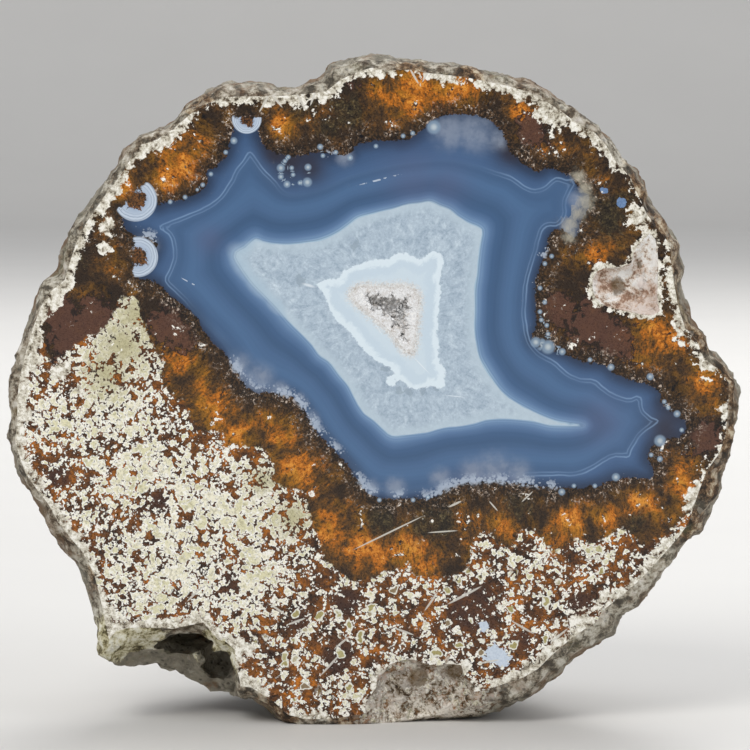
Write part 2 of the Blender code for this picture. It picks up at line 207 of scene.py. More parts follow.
# The edge of the whiter quartz in the middle
INNER = (
    (-8, 65.5), (-7.2, 66), (-6, 66.5), (-4.8, 66.3), (-4.1, 67.4), (-3, 68), (-1.8, 68.4),
    (-0.7, 68.8), (0.8, 69.3), (2.6, 69.3), (3.6, 70), (4.6, 70.2), (6.1, 69.7), (7.3, 69.3),
    (8.2, 69.9), (8.9, 70.6), (9.8, 70.3), (10.5, 70), (10.8, 68.8), (10.5, 67.4), (10.2, 66.2),
    (10.4, 64.7), (10.1, 63.2), (10.2, 61.8), (9.8, 60.9), (10.1, 59.5), (9.8, 58.1), (10.1, 56.6),
    (10, 55.1), (10.3, 53.9), (11, 53.3), (10.9, 51.7), (11.1, 50.5), (10.3, 50.1), (9.1, 50.5),
    (7.3, 50.1), (6.1, 50.1), (5.1, 51), (4.1, 51.3), (3.3, 50.4), (2.6, 50.8), (2.3, 51.9),
    (3.5, 51.9), (3.2, 52.9), (2.1, 53.6), (1.1, 54.2), (-0.4, 55.3), (-1.6, 56.6), (-2.7, 57.9),
    (-3.8, 59.1), (-4.9, 60.1), (-5.8, 61.5), (-6.4, 62.6), (-6.7, 63.8), (-7.3, 64.7),
)

# The edge of the speckled matrix
MATRIX = (
    (-54.7, 56.6), (-50.6, 57), (-48.2, 57.3), (-47.3, 53.6), (-45.8, 54.8), (-43.8, 56.4),
    (-42.3, 57.6), (-39.9, 58.7), (-38.1, 60.9), (-37.2, 63.1), (-35.8, 63.8), (-34.2, 63.2),
    (-33.9, 60.9), (-32.8, 58.2), (-31.7, 55.8), (-30.6, 53.8), (-30.8, 51.4), (-29.2, 49),
    (-27.3, 48), (-26.5, 45.6), (-24.8, 44), (-21.7, 43.7), (-21.8, 41.6), (-19, 41.5),
    (-16.5, 41.5), (-15.5, 40.6), (-14.3, 38.7), (-14.6, 36.4), (-12.5, 35.5), (-10.3, 35.1),
    (-9.4, 33.3), (-8.7, 30.6), (-7.6, 27.7), (-6.7, 24.7), (-4.5, 22.9), (-2.7, 21.5),
    (-0.7, 21.7), (1.5, 22.9), (3.8, 23.2), (5.5, 24.1), (6.7, 22.4), (9, 22.4), (11.2, 22.4),
    (13.4, 22.7), (14.7, 24.7), (15, 26.9), (15.9, 28.5), (17.7, 28.7), (19.2, 26.9), (20.8, 26.5),
    (22.1, 28.7), (23.8, 29.3), (25.4, 27.7), (26.9, 26.3), (29, 26.9), (30.9, 28.1), (32.7, 27.2),
    (34.1, 27.7), (36.2, 29.1), (37.4, 29.6), (38.9, 28.2), (40.1, 26.9), (42.3, 27.7),
    (44.2, 29.1), (46.3, 30.6), (47.4, 32.4), (48.8, 34), (54.7, 38.1), (54.9, -5.2), (-55.1, -5.2),
)

# Spots are given as centre x, z and radius in mm: these are small ringed eyes of pale agate
EYES = (
    (-20.1, 86.7, 0.6),
    (-21.3, 85, 0.4), (-23.5, 81.8, 0.4), (-24.7, 80.2, 0.4), (-25.5, 79.5, 0.3),
    (-27.3, 78.4, 0.4), (-29.5, 77.7, 0.4), (-12.1, 84.3, 0.4), (-12.6, 83.7, 0.4),
    (-13.2, 82.7, 0.7), (-11.6, 82.7, 0.4), (-9.2, 82.8, 0.6), (-11.4, 81.7, 0.4),
    (-13.2, 81.4, 0.5), (-12.3, 80.3, 0.6), (-10.4, 80.5, 0.4), (-9.3, 80.6, 0.8),
    (-7.4, 85.8, 0.5), (-7, 84.5, 0.4), (-5.1, 85, 0.4), (-3, 84.2, 0.5), (0.8, 85.9, 0.4),
    (4.8, 87.4, 0.4), (6.2, 87.8, 0.4), (9.3, 88.7, 1.2), (26.7, 69.7, 0.4), (25.7, 68.6, 0.4),
    (25, 65, 0.4), (25.7, 62.9, 0.4), (25, 61.5, 0.4), (25.2, 60.3, 0.4), (26, 59.5, 0.4),
    (26.2, 58.2, 0.4), (24.4, 57, 0.9), (26.2, 56.3, 1.2), (28.3, 55.6, 0.6), (32.4, 54.4, 0.4),
    (35.5, 53.3, 0.6), (41.3, 51.9, 0.6), (43.4, 48.2, 0.4), (44, 47.3, 0.4), (45.3, 46.4, 0.6),
    (46, 44, 0.4), (42.8, 42.4, 1), (41.5, 40.3, 0.4), (42.8, 39.7, 0.5), (36.3, 37, 0.7),
    (28.3, 34.8, 0.6), (30.1, 35.7, 0.4), (33.2, 35.7, 0.4), (6.3, 33.6, 0.4), (1.3, 33.6, 0.4),
    (8.5, 34, 0.4),
)

# Where the jasper is bright orange
ORANGE_SPOTS = (
    (-27.3, 83.1, 3.2), (-36.1, 80.2, 2.1), (-12.6, 89.7, 2.2), (7.3, 93.4, 3.5), (12.4, 94.1, 3.2),
    (2.9, 93.4, 2.1), (33.8, 70.6, 1.8), (41.2, 58.1, 3.2), (48.7, 50.7, 2.1), (-28.9, 54.4, 2.1),
    (-24.5, 48.4, 2.4), (-19.3, 44, 2.7), (-13.4, 42.5, 2.4), (-10.4, 38.1, 2.7), (-0.1, 26.2, 3.2),
    (5.8, 26.9, 2.7), (-6, 29.1, 2.7), (7.3, 24.7, 2.1), (20.7, 29.9, 2.1), (29.5, 29.9, 2.4),
    (34.7, 31.4, 2.1), (39.9, 32.9, 2.7), (46.5, 36.6, 2.4), (22, 90.9, 1.5), (-35.4, 81.7, 1.8),
    (-30.3, 80.9, 2.4),
)

# Plain brown patches
BROWN_SPOTS = (
    (-44.1, 57.6, 3.8), (-45.8, 61, 2.7), (-40.7, 60.3, 3), (-29.9, 60, 2.7), (-28.1, 58.1, 2.1),
    (32.4, 60.3, 3.5), (49.5, 42.8, 2.4), (28, 61.8, 2.4), (35.3, 57.3, 3), (-3.7, 96.3, 2.1),
    (23.5, 88.3, 2.1), (-21.6, 20.9, 1.6), (-48.9, 44, 1.8), (-6, 5.3, 2.4), (-10.5, 11.2, 2.1),
)

# Olive and dark moss
MOSS_SPOTS = (
    (35.3, 76.2, 3.8), (27.9, 78, 1.8), (-10.4, 92.7, 3), (-3.8, 91.2, 3), (-6, 89, 2.4),
    (39.2, 30.6, 1.8), (-32.6, 51.4, 2.1), (-17.8, 38.8, 2.1), (22.1, 32.9, 2.7), (8.8, 30.6, 3.5),
    (1.4, 30.6, 2.7), (-44.3, 69.9, 2.1),
)

# White clouds under the surface
CLOUDS = (
    (-19.6, 53.2, 2.1), (-16.6, 51.7, 2.1), (-13.4, 49.6, 1.5), (-10.7, 48.2, 1.2),
    (-8.9, 45.5, 1.2), (15.4, 37.4, 2.2), (18.4, 38.0, 2.6), (21.6, 37.2, 2.2), (3.6, 35.5, 1.5),
    (0.2, 35.4, 1.2), (11.7, 88, 2.4), (15.4, 88, 2.7), (18.6, 86.8, 1.5), (27.2, 63.2, 0.9),
    (30.1, 78, 1.0), (29.0, 73.6, 1.0), (27.9, 72.1, 1.0), (-3.8, 84.2, 1.2), (-32.8, 71.4, 1.5),
    (10.3, 36.9, 1.5),
)

# Where the matrix is nearly solid cream
CREAM_SPOTS = (
    (-29.7, 24.7, 6.6), (-25.2, 32.1, 6.2), (-32.7, 20.2, 5), (-22.3, 18.7, 3.8),
    (-38.5, 45.5, 4.4), (-34.1, 38.1, 5), (-34.7, 61.8, 2.4), (-37, 57.3, 2.7), (-19.3, 30.6, 4.4),
    (-17.1, 21.7, 3.5), (-45.9, 47, 3), (-35.7, 15.7, 3.5),
)

# Where the blue turns violet
VIOLET_SPOTS = (
    (6.5, 80.9, 3.8), (11, 80.2, 3), (-23.7, 72.1, 1.8), (33.9, 45.5, 3), (14.7, 34.3, 3),
    (19.2, 35.1, 2.1),
)

# Chalky white patches
CHALK_SPOTS = (
    (26.7, 90.9, 2.4), (34.9, 87.5, 2.1), (40.4, 75.8, 1.8), (22.7, 94.1, 1.8), (-20.6, 10.9, 2.4),
    (-18.4, 95, 2.4), (-10.4, 94.1, 2.1), (45.6, 63.8, 1.8), (43.3, 68.8, 1.0),
    (31.8, 15.4, 1.6), (34.5, 18.7, 1.2), (28.1, 12.4, 1.3), (23.4, 8.6, 1.3), (46.1, 27.7, 1.0),
    (44.1, 24.4, 1.0), (48.3, 32.9, 0.9),
    (-38.7, 73.9, 1.0), (-39.6, 70.9, 0.9), (-41.0, 77.2, 0.9), (-47.3, 63.2, 1.3), (-49.7, 58.1, 1.5),
    (-50.3, 53.6, 1.5), (-45.6, 52.6, 1.2), (-43.2, 50.2, 0.9), (-51.2, 46.2, 1.3), (27.9, 90.0, 1.8),
)

# Eyes that are cut off along a line: centre x, z, radius, direction that is cut off in degrees, share
MOONS = (
    (-18.2, 89.9, 2.2, 90, 0.1), (-34.6, 78.0, 3.2, 135, 0.2), (-34.3, 69.6, 3.0, 180, 0.2),
)

# Where the matrix is coarse, with larger grains and slivers
COARSE_SPOTS = (
    (-6.0, 12.0, 10.0), (6.0, 15.0, 9.0), (17.0, 12.0, 11.0), (-12.0, 8.0, 7.0), (27.0, 17.0, 8.0),
    (35.0, 21.0, 7.0), (42.0, 27.0, 6.0),
)

# Where the thin pale line is seen
LINE_SPOTS = (
    (-19.0, 84.0, 2.5), (-22.0, 79.0, 4.0), (-27.0, 75.5, 4.0), (-30.0, 72.5, 3.0), (-29.0, 67.0, 3.0),
    (-15.5, 82.0, 2.0), (22.0, 80.5, 3.0), (27.5, 81.0, 3.0), (26.5, 74.0, 3.0), (23.0, 66.0, 4.0),
    (23.0, 59.0, 4.0), (28.0, 53.5, 3.0), (34.0, 50.5, 3.5), (38.5, 48.5, 3.0), (41.5, 45.5, 3.0),
    (38.0, 40.5, 3.0), (33.0, 38.5, 3.0), (27.0, 37.3, 3.0),
)

# Dark moss that shows through the bands
SHADE_SPOTS = (
    (-11.9, 83.4, 2.6), (-9.0, 82.6, 2.0), (-14.0, 84.6, 1.8), (20.5, 85.2, 2.0), (43.5, 44.5, 2.4),
)

# Where white frost lies along the jasper
FROST_SPOTS = (
    (-19.6, 53.5, 1.5), (-16.6, 51.4, 1.6), (-12.6, 49.9, 1.5), (-10.4, 47.9, 1.5), (-7.8, 44.9, 1.5),
    (-4.8, 41.8, 1.2), (-1.3, 36.3, 1.2), (4.1, 34.9, 1.0), (11.0, 36.3, 1.2), (14.7, 36.9, 1.3),
    (19.2, 36.9, 1.3), (22.9, 36.3, 1.3), (26.6, 35.7, 1.0), (26.2, 69.9, 1.0), (25.4, 65.5, 1.0),
    (-32.5, 72.8, 1.0), (-6.0, 85.3, 0.7),
    (8.5, 34.8, 1.2), (10.3, 35.2, 1.3), (12.1, 35.5, 1.3), (13.8, 35.8, 1.3), (15.6, 36.0, 1.3),
    (17.4, 36.0, 1.3), (19.2, 35.7, 1.3), (20.9, 35.4, 1.3), (22.7, 35.1, 1.2), (24.5, 34.8, 1.2),
    (27.4, 34.5, 0.9), (0.2, 35.5, 1.2), (-1.3, 36.6, 1.2),
)

# A beige wisp along the jasper at the upper right
WISP_SPOTS = (
    (30.7, 81.5, 1.0), (31.6, 79.7, 1.0), (31.7, 77.8, 1.2), (30.4, 76.2, 1.2),
    (29.4, 74.4, 1.2), (29.4, 72.5, 0.9),
)

# Where the chalky rim is thin and the rind earthy
BARE_SPOTS = (
    (40.9, 79.5, 3.2), (43.8, 75.8, 3.0), (47.1, 68.8, 3.0), (48.2, 64.0, 2.6), (49.6, 58.8, 2.8),
    (53.2, 50.7, 3.2), (53.6, 42.5, 3.0), (51.6, 35.8, 2.6), (47.6, 29.9, 2.2), (-38.6, 22.4, 2.4),
    (-13.5, 3.0, 3.0), (-3.1, 1.5, 2.4), (6.0, 96.6, 2.2), (14.5, 95.8, 1.8), (-24.6, 91.4, 1.8),
)

# The broken corner: cream olive, and painted paler as fill light where it faces down into shade
CORNER_OLIVE_AND_FILL_LIGHT_SPOTS = (
    (-37.9, 12.7, 3.2), (-34.2, 12.7, 3.2), (-29.8, 10.0, 1.8), (-28.0, 9.7, 1.8), (-21.6, 10.5, 2.4),
    (-23.5, 12.7, 1.5),
)

# Grey quartz that cuts into the whiter quartz in the middle
NOTCH_SPOTS = (
    (4.1, 49.8, 0.7), (5.8, 49.6, 0.9), (7.9, 49.8, 0.7), (9.7, 50.1, 0.6), (2.3, 53.2, 0.9),
    (3.2, 51.7, 0.7), (-10.4, 66.2, 0.9), (-2.3, 71.4, 0.9),
)

# Dark patches in the matrix, pale blue and blue inclusions, and brown stains in the pocket and the chip
DARK_SPOTS = (
    (15.5, 17.2, 3.6), (-3.8, 18.3, 2.1), (-4.8, 10.5, 2.4), (-21.1, 21.2, 1.9), (4.4, 5.3, 1.8),
    (-10.5, 15.7, 1.4), (22.2, 12.7, 1.6), (31.0, 18.0, 1.8), (-31.0, 33.0, 1.5), (-46.0, 37.0, 1.5),
)
PALE_BLUE_SPOTS = ((18.3, 10.6, 1.5), (19.7, 9.8, 1.2), (16.8, 14.7, 0.8))
BLUE_SPOTS = ((37.0, 77.6, 0.8), (34.4, 79.4, 0.6))
RUST_SPOTS = ((36.5, 65.2, 1.3), (39.7, 68.4, 0.6), (9.0, 10.5, 2.0), (7.0, 7.0, 1.6), (12.5, 8.0, 1.4))

# Where the quartz fades softly into the bands
SOFT_SPOTS = (
    (-19.0, 68.5, 2.6), (-16.5, 65.5, 2.2), (-20.5, 71.0, 2.0), (-14.0, 62.5, 1.4),
)

# Greenish yellow matrix
GREEN_SPOTS = (
    (-34.6, 61.0, 3.2), (-36.5, 56.5, 4.0), (-39.0, 52.5, 3.4), (-16.0, 36.5, 2.0), (-11.5, 31.0, 2.4),
)

# The pinkish broken chip at the bottom
CHIP_SPOTS = (
    (7.4, 4.6, 7.5), (4.0, 4.0, 5.0), (11.5, 4.0, 5.0),
)

# The fine crystals of the quartz run towards this place: x, z, and how they spread and stretch
HOLLOW_CENTRE = (3.0, 61.5)
RAY_SPREAD = 26.0
RAY_STRETCH = 0.45
# The crust is widened to meet the wall of the hollow, its front comes from this depth to just behind
# the face, and it is made flatter
CRUST_WIDER = 1.12
CRUST_FRONT = -23.7
CRUST_BEHIND = 0.04
CRUST_FLATTER = 0.62

# Long white slivers in the matrix and the jasper: centre x, z, half length, half width, tilt in degrees
NEEDLES = (
    (2.6, 28.7, 6.0, 0.13, 26), (13.9, 19.4, 3.0, 0.20, 28), (10.7, 28.9, 2.3, 0.12, 4),
    (12.5, 33.0, 1.1, 0.18, 25), (18.2, 32.7, 1.0, 0.12, -49), (23.2, 34.1, 1.2, 0.12, 44),
    (-6.0, 9.0, 2.2, 0.17, 48), (-4.2, 12.4, 1.6, 0.17, 40), (-15.6, 92.2, 1.6, 0.17, 60),
    (-13.8, 92.6, 1.4, 0.17, -50), (-10.2, 92.4, 1.5, 0.17, -62), (-8.4, 93.1, 1.4, 0.17, 70),
    (6.4, 96.2, 1.4, 0.17, -60), (8.2, 96.4, 1.3, 0.17, 62), (40.8, 76.4, 1.8, 0.17, 58),
    (42.0, 75.2, 1.5, 0.17, -40), (-20.9, 94.0, 1.3, 0.17, 10), (22.6, 14.6, 2.0, 0.17, -30),
    (-13.6, 17.2, 1.8, 0.17, -35), (-11.0, 15.5, 1.5, 0.17, 20), (28.0, 13.4, 1.7, 0.17, 40),
    (5.0, 14.0, 1.6, 0.17, -20), (-26.2, 19.5, 1.5, 0.17, 45), (17.5, 9.5, 1.7, 0.17, 10),
    (9.0, 18.5, 1.8, 0.17, 55), (33.2, 25.0, 1.4, 0.17, 15),
)
# Hairline cracks in the quartz, in the same form as the needles
CRACKS = (
    (7.5, 53.6, 2.4, 0.12, -46), (1.1, 59.1, 1.7, 0.10, -59), (12.5, 49.0, 2.2, 0.10, -6),
    (-9.1, 65.4, 1.4, 0.30, 164),
)

# Dotted scratches in the polish: centre x, z, half length, half width, tilt in degrees
SCRATCHES = (
    (1.9, 81.1, 4.4, 0.16, 14), (-26.6, 65.8, 2.0, 0.1, -28),
)

# Markings are measured to this depth behind the face, and no distance is given as more than FAR
MARKED_DEPTH = 6.0
FAR = 60.0
TINY = 1e-9
# How quickly a round spot fades: its strength at its radius is exp(-SPOT_FALL)
SPOT_FALL = 0.7
# Edges nearer than this to the hollow or the pocket aren't the outer edge of the face
RIM_CLEAR = 2.0
# A half-moon's cut is known this far out, in its own radii
MOON_REACH = 1.6
# Layers are counted from 0 at the line or the shore to 1 inwards, and a little beyond
LAYER_GAP = 0.01
LAYER_ENDS = (-1.0, 2.0)


def as_marks(spots):
    """Round spots as marks with equal half length and width."""
    return [(x, z, radius, radius, 0.0) for x, z, radius, *rest in spots]


# The attributes that tell how strongly a place lies in the spots of a list
SPOTS = {
    "orange_spots": ORANGE_SPOTS, "brown_spots": BROWN_SPOTS, "moss_spots": MOSS_SPOTS, "clouds": CLOUDS,
    "cream_spots": CREAM_SPOTS, "violet_spots": VIOLET_SPOTS, "chalk_spots": CHALK_SPOTS,
    "coarse_spots": COARSE_SPOTS, "chip": CHIP_SPOTS, "line_spots": LINE_SPOTS, "shade_spots": SHADE_SPOTS,
    "green_spots": GREEN_SPOTS, "soft_spots": SOFT_SPOTS, "dark_spots": DARK_SPOTS, "blue_spots": BLUE_SPOTS,
    "pale_blue_spots": PALE_BLUE_SPOTS, "rust_spots": RUST_SPOTS, "frost_spots": FROST_SPOTS,
    "bare_spots": BARE_SPOTS, "wisp_spots": WISP_SPOTS, "corner_spots": CORNER_OLIVE_AND_FILL_LIGHT_SPOTS,
    "notch_spots": NOTCH_SPOTS,
}
# The attributes that tell where a place lies in its nearest mark
MARKS = {
    "eye": as_marks(EYES), "needle": NEEDLES, "scratch": SCRATCHES, "crack": CRACKS, "moon": as_marks(MOONS),
}


def srgb(red, green, blue):
    """A colour as it looks on a screen, 0 to 255, turned into the linear colour that Blender uses."""
    parts = [channel / 255.0 for channel in (red, green, blue)]
    return (*[part / 12.92 if part <= 0.04045 else ((part + 0.055) / 1.055) ** 2.4 for part in parts], 1.0)


def linear(colour):
    """A colour given as red, green and blue from 0 to 255 made linear. Settings and values stay."""
    return srgb(*colour) if isinstance(colour, tuple) else colour


def colour_setting(name, description, red, green, blue):
    """A colour in the settings."""
    return bpy.props.FloatVectorProperty(
        name=name, description=description, subtype="COLOR", size=4, min=0.0, max=1.0,
        default=srgb(red, green, blue))


def length_setting(name, description, millimetres):
    """A length in the settings."""
    return bpy.props.FloatProperty(
        name=name, description=description, default=millimetres * MM, min=0.0, unit="LENGTH")


class AgateSizes(bpy.types.PropertyGroup):
    """Sizes of the stone and its crystals."""
    face_edge: length_setting("Face mesh", "Longest edge of the mesh on the polished face", 0.95)
    mark_edge: length_setting("Marks mesh", "Longest edge of the mesh at the small marks", 0.35)
    rind_edge: length_setting("Rind mesh", "Longest edge of the mesh on the rough rind", 1.15)
    rind_knobs: length_setting("Rind knobs", "Height of the broad knobs on the rind", 1.8)
    rind_lumps: length_setting("Rind lumps", "Height of the lumps on the rind", 1.5)
    rind_grain: length_setting("Rind grain", "Height of the coarse grain on the rind", 0.8)
    rind_pits: length_setting("Rind pits", "Depth of the pits in the rind", 0.7)
    crystal_count: bpy.props.IntProperty(
        name="Crystals", description="Number of small crystals in the hollow", default=900, min=1)
    crystal_radius: length_setting("Crystal radius", "Mean radius of a crystal", 0.22)
    crystal_height: length_setting("Crystal height", "Mean height of a crystal", 0.45)


class AgateColours(bpy.types.PropertyGroup):
    """Main colours of the stone, and of the floor."""
    blue: colour_setting("Bands", "Blue of most bands", 78, 109, 147)
    blue_dark: colour_setting("Dark bands", "Blue of the darkest bands", 64, 92, 127)
    blue_pale: colour_setting("Pale lines", "Blue of the thin pale lines", 140, 170, 205)
    quartz: colour_setting("Quartz", "Grey of the quartz", 182, 198, 211)
    quartz_white: colour_setting("White quartz", "White of the inner quartz", 218, 231, 239)
    cream: colour_setting("Matrix grains", "White of the grains in the matrix", 252, 250, 242)
    ground: colour_setting("Matrix ground", "Brown between the grains", 120, 73, 28)
    orange: colour_setting("Jasper", "Orange of the jasper", 186, 106, 24)
    brown: colour_setting("Brown jasper", "Brown of the plain patches", 104, 70, 56)
    moss: colour_setting("Moss", "Dark olive of the moss", 42, 36, 26)
    rind: colour_setting("Rind", "Grey cream of the weathered rind", 186, 178, 160)
    floor: colour_setting("Floor", "Pale grey of the floor", 214, 212, 208)


class Value:
    """A socket of a material. Sums of such values add the Math nodes that they need."""

    def __init__(self, paint, socket):
        self.paint = paint
        self.socket = socket

    def __eq__(self, other):
        return isinstance(other, Value) and self.socket == other.socket

    def __hash__(self):
        return hash(self.socket)

    def maths(self, operation, first, second):
        """The value that a Math node makes of two terms."""
        return self.paint.value("ShaderNodeMath", {"operation": operation}, {0: first, 1: second})

    def __add__(self, other):
        return self.maths("ADD", self, other)

    def __radd__(self, other):
        return self.maths("ADD", other, self)

    def __sub__(self, other):
        return self.maths("SUBTRACT", self, other)

    def __rsub__(self, other):
        return self.maths("SUBTRACT", other, self)

    def __mul__(self, other):
        return self.maths("MULTIPLY", self, other)

    def __rmul__(self, other):
        return self.maths("MULTIPLY", other, self)

    def __truediv__(self, other):
        return self.maths("DIVIDE", self, other)

    def above(self, other):
        """The larger of two values."""
        return self.maths("MAXIMUM", self, other)

    def swing(self, reach):
        """The value from 0 to 1 made to swing around 0, over so much in all."""
        return (self - 0.5) * reach

    def wave(self):
        """The sine of the value."""
        return self.maths("SINE", self, 0.0)

    def rise(self, low, high):
        """A smooth step from 0 at low to 1 at high, or falling where low is above high."""
        return self.paint.value(
            "ShaderNodeMapRange", {"interpolation_type": "SMOOTHSTEP"},
            {"Value": self, "From Min": low, "From Max": high})


class Paint:
    """A material that is built up from nodes."""

    def __init__(self, name, colours):
        self.colours = colours
        self.material = bpy.data.materials.new(name)
        self.material.use_nodes = True
        self.tree = self.material.node_tree
        self.tree.nodes.clear()
        self.made = {}
        self.place = self.scaled_place()
        self.broad = self.noise(0.25, 3.0, 0.6)
        self.quick = self.noise(1.0, 4.0, 0.72, 0.5)
        self.fine = self.noise(3.4, 3.0, 0.75)

    def node(self, kind, settings, inputs):
        """A new node with its settings and the values or links of its sockets."""
        made = self.tree.nodes.new(kind)
        for name, setting in settings.items():
            if name == "stops":
                self.set_stops(made.color_ramp, setting)
            else:
                setattr(made, name, setting)
        for name, term in inputs.items():
            if isinstance(term, Value):
                self.tree.links.new(term.socket, made.inputs[name])
            elif isinstance(term, (int, float)):
                made.inputs[name].default_value = term
            else:
                made.inputs[name].default_value = tuple(term)[:len(made.inputs[name].default_value)]
        return made

    def value(self, kind, settings, inputs, output=0):
        """One output of a new node."""
        return Value(self, self.node(kind, settings, inputs).outputs[output])

    def shared(self, kind, settings, inputs, output):
        """One output of a node that is made once and used wherever the same one is asked for."""
        key = (kind, settings, inputs)
        if key not in self.made:
            self.made[key] = self.node(kind, dict(settings), dict(inputs))
        return Value(self, self.made[key].outputs[output])

    def set_stops(self, ramp, stops):
        """Gives a colour ramp its stops: a place with a colour setting, or with red, green and blue."""
        while len(ramp.elements) < len(stops):
            ramp.elements.new(1.0)
        for element, (place, *colour) in zip(ramp.elements, stops):
            element.position = place
            element.color = colour[0] if len(colour) == 1 else srgb(*colour)

    def scaled_place(self):
        """The place on the piece in millimetres."""
        place = self.value("ShaderNodeTexCoord", {}, {}, "Object")
        return self.value("ShaderNodeVectorMath", {"operation": "SCALE"}, {0: place, "Scale": 1.0 / MM})

    def attribute(self, name, output="Fac"):
        """An attribute that the mesh carries."""
        return self.shared("ShaderNodeAttribute", (("attribute_name", name),), (), output)

    def noise(self, scale, detail=3.0, roughness=0.5, distortion=0.0, place=None):
        """Soft noise from 0 to 1, with so many features per millimetre. The same noise is made once."""
        return self.shared("ShaderNodeTexNoise", (), (
            ("Vector", place or self.place), ("Scale", scale), ("Detail", detail), ("Roughness", roughness),
            ("Distortion", distortion)), "Fac")

    def cells(self, scale, feature="F1", output="Distance", place=None):
        """Cells of so many per millimetre, as distance or as a random colour."""
        return self.shared("ShaderNodeTexVoronoi", (("feature", feature),), (
            ("Vector", place or self.place), ("Scale", scale)), output)

    def warped(self, amount, scale):
        """The place pushed about by noise, by so many millimetres."""
        push = self.value(
            "ShaderNodeTexNoise", {}, {"Vector": self.place, "Scale": scale, "Detail": 3.0}, "Color")
        push = self.value("ShaderNodeVectorMath", {"operation": "SUBTRACT"}, {0: push, 1: (0.5, 0.5, 0.5)})
        push = self.value("ShaderNodeVectorMath", {"operation": "SCALE"}, {0: push, "Scale": amount})
        return self.value("ShaderNodeVectorMath", {"operation": "ADD"}, {0: self.place, 1: push})

    def plumed(self, share):
        """The place drawn towards the contact, so that noise there stands in plumes on the contact."""
        foot = self.attribute("foot", "Vector")
        return self.value("ShaderNodeMix", {"data_type": "VECTOR"}, {0: share, 4: self.place, 5: foot}, 1)

    def mix(self, factor, first, second):
        """Two colours mixed: the first at factor 0, the second at factor 1."""
        return self.value(
            "ShaderNodeMix", {"data_type": "RGBA"}, {0: factor, 6: linear(first), 7: linear(second)}, 2)

    def lit(self, colour, strength):
        """A colour made darker or lighter by a value."""
        return self.value(
            "ShaderNodeVectorMath", {"operation": "SCALE"}, {0: linear(colour), "Scale": strength})

    def ramp(self, value, stops):
        """The colour at a value along a ramp."""
        return self.value("ShaderNodeValToRGB", {"stops": stops}, {"Fac": value}, "Color")

    def random_part(self, colour, part):
        """One channel of a cell's random colour."""
        return self.value("ShaderNodeSeparateColor", {}, {"Color": colour}, part)

    def bump(self, height, distance):
        """A normal bent by a height from 0 to 1, over so many millimetres."""
        return self.value(
            "ShaderNodeBump", {}, {"Height": height, "Distance": distance * MM, "Strength": 1.0}, "Normal")

    def finish(self, inputs):
        """Adds the shader and gives back the material."""
        shader = self.value("ShaderNodeBsdfPrincipled", {}, inputs, "BSDF")
        self.node("ShaderNodeOutputMaterial", {}, {"Surface": shader})
        return self.material


def smooth_outline(points, steps=4):
    """A closed curve through the points, as more points."""
    rows = np.array(points)
    before, after, further = np.roll(rows, 1, 0), np.roll(rows, -1, 0), np.roll(rows, -2, 0)
    pieces = []
    for step in range(steps):
        t = step / steps
        curve = 0.5 * (2 * rows + (after - before) * t
                       + (2 * before - 5 * rows + 4 * after - further) * t * t
                       + (3 * rows - before - 3 * after + further) * t ** 3)
        pieces.append(curve)
    return np.stack(pieces, 1).reshape(-1, 2)


def nearest_shore(places, points):
    """The nearest place of a closed outline, as x, 0 and z in mm."""
    outline = smooth_outline(points, 12)
    tree = KDTree(len(outline))
    for index, (x, z) in enumerate(outline):
        tree.insert((x, 0.0, z), index)
    tree.balance()
    return np.array([tuple(tree.find((x, 0.0, z))[0]) for x, z in places])


def inside_distance(places, points):
    """How far each place is inside a closed outline, in mm. It is negative outside."""
    outline = smooth_outline(points)
    nearest = np.full(len(places), FAR ** 2)
    crossings = np.zeros(len(places), int)
    for start, end in zip(outline, np.roll(outline, -1, 0)):
        along = end - start
        offset = places - start
        share = np.clip(offset @ along / max(along @ along, TINY), 0.0, 1.0)
        gap = offset - share[:, None] * along
        nearest = np.minimum(nearest, np.einsum("ij,ij->i", gap, gap))
        if start[1] == end[1]:
            continue
        between = (places[:, 1] >= min(start[1], end[1])) & (places[:, 1] < max(start[1], end[1]))
        reach = start[0] + (places[:, 1] - start[1]) * along[0] / along[1]
        crossings += between & (places[:, 0] < reach)
    return np.sqrt(nearest) * np.where(crossings % 2, 1.0, -1.0)


def spot_strength(places, spots):
    """How strongly each place lies in one of the round spots, fading outwards."""
    strength = np.zeros(len(places))
    for x, z, radius in spots:
        square = ((places - (x, z)) ** 2).sum(1) / radius ** 2
        strength = np.maximum(strength, np.exp(-SPOT_FALL * square))
    return strength


def nearest_mark(places, marks):
    """Each place as seen from its nearest mark: along and across it, 1 at its edge, and the distance."""
    best = np.full(len(places), FAR)
    seen = np.full((len(places), 3), FAR)
    for x, z, length, width, tilt in marks:
        turn = math.radians(tilt)
        offset = places - (x, z)
        along = (offset[:, 0] * math.cos(turn) + offset[:, 1] * math.sin(turn)) / length
        across = (offset[:, 1] * math.cos(turn) - offset[:, 0] * math.sin(turn)) / width
        gap = np.hypot(along, across)
        closer = gap < best
        best[closer] = gap[closer]
        seen[closer] = np.stack([along, across, across * 0.0], 1)[closer]
    return seen, best


def select_only(piece):
    """Leaves one piece selected and active."""
    bpy.ops.object.select_all(action="DESELECT")
    piece.select_set(True)
    bpy.context.view_layer.objects.active = piece


def copy_of_node(name, node):
    """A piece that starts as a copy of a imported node, with its loose triangles joined."""
    piece = bpy.data.objects.new(name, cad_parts[node].data.copy())
    bpy.context.scene.collection.objects.link(piece)
    piece.data.materials.clear()
    select_only(piece)
    bpy.ops.object.mode_set(mode="EDIT")
    bpy.ops.mesh.select_all(action="SELECT")
    bpy.ops.mesh.remove_doubles(threshold=SAME_PLACE)
    bpy.ops.mesh.customdata_custom_splitnormals_clear()
    bpy.ops.object.mode_set(mode="OBJECT")
    return piece


def corner_places(piece):
    """The places of the mesh's points in millimetres."""
    flat = np.zeros(len(piece.data.vertices) * 3)
    piece.data.vertices.foreach_get("co", flat)
    return flat.reshape(-1, 3) / MM


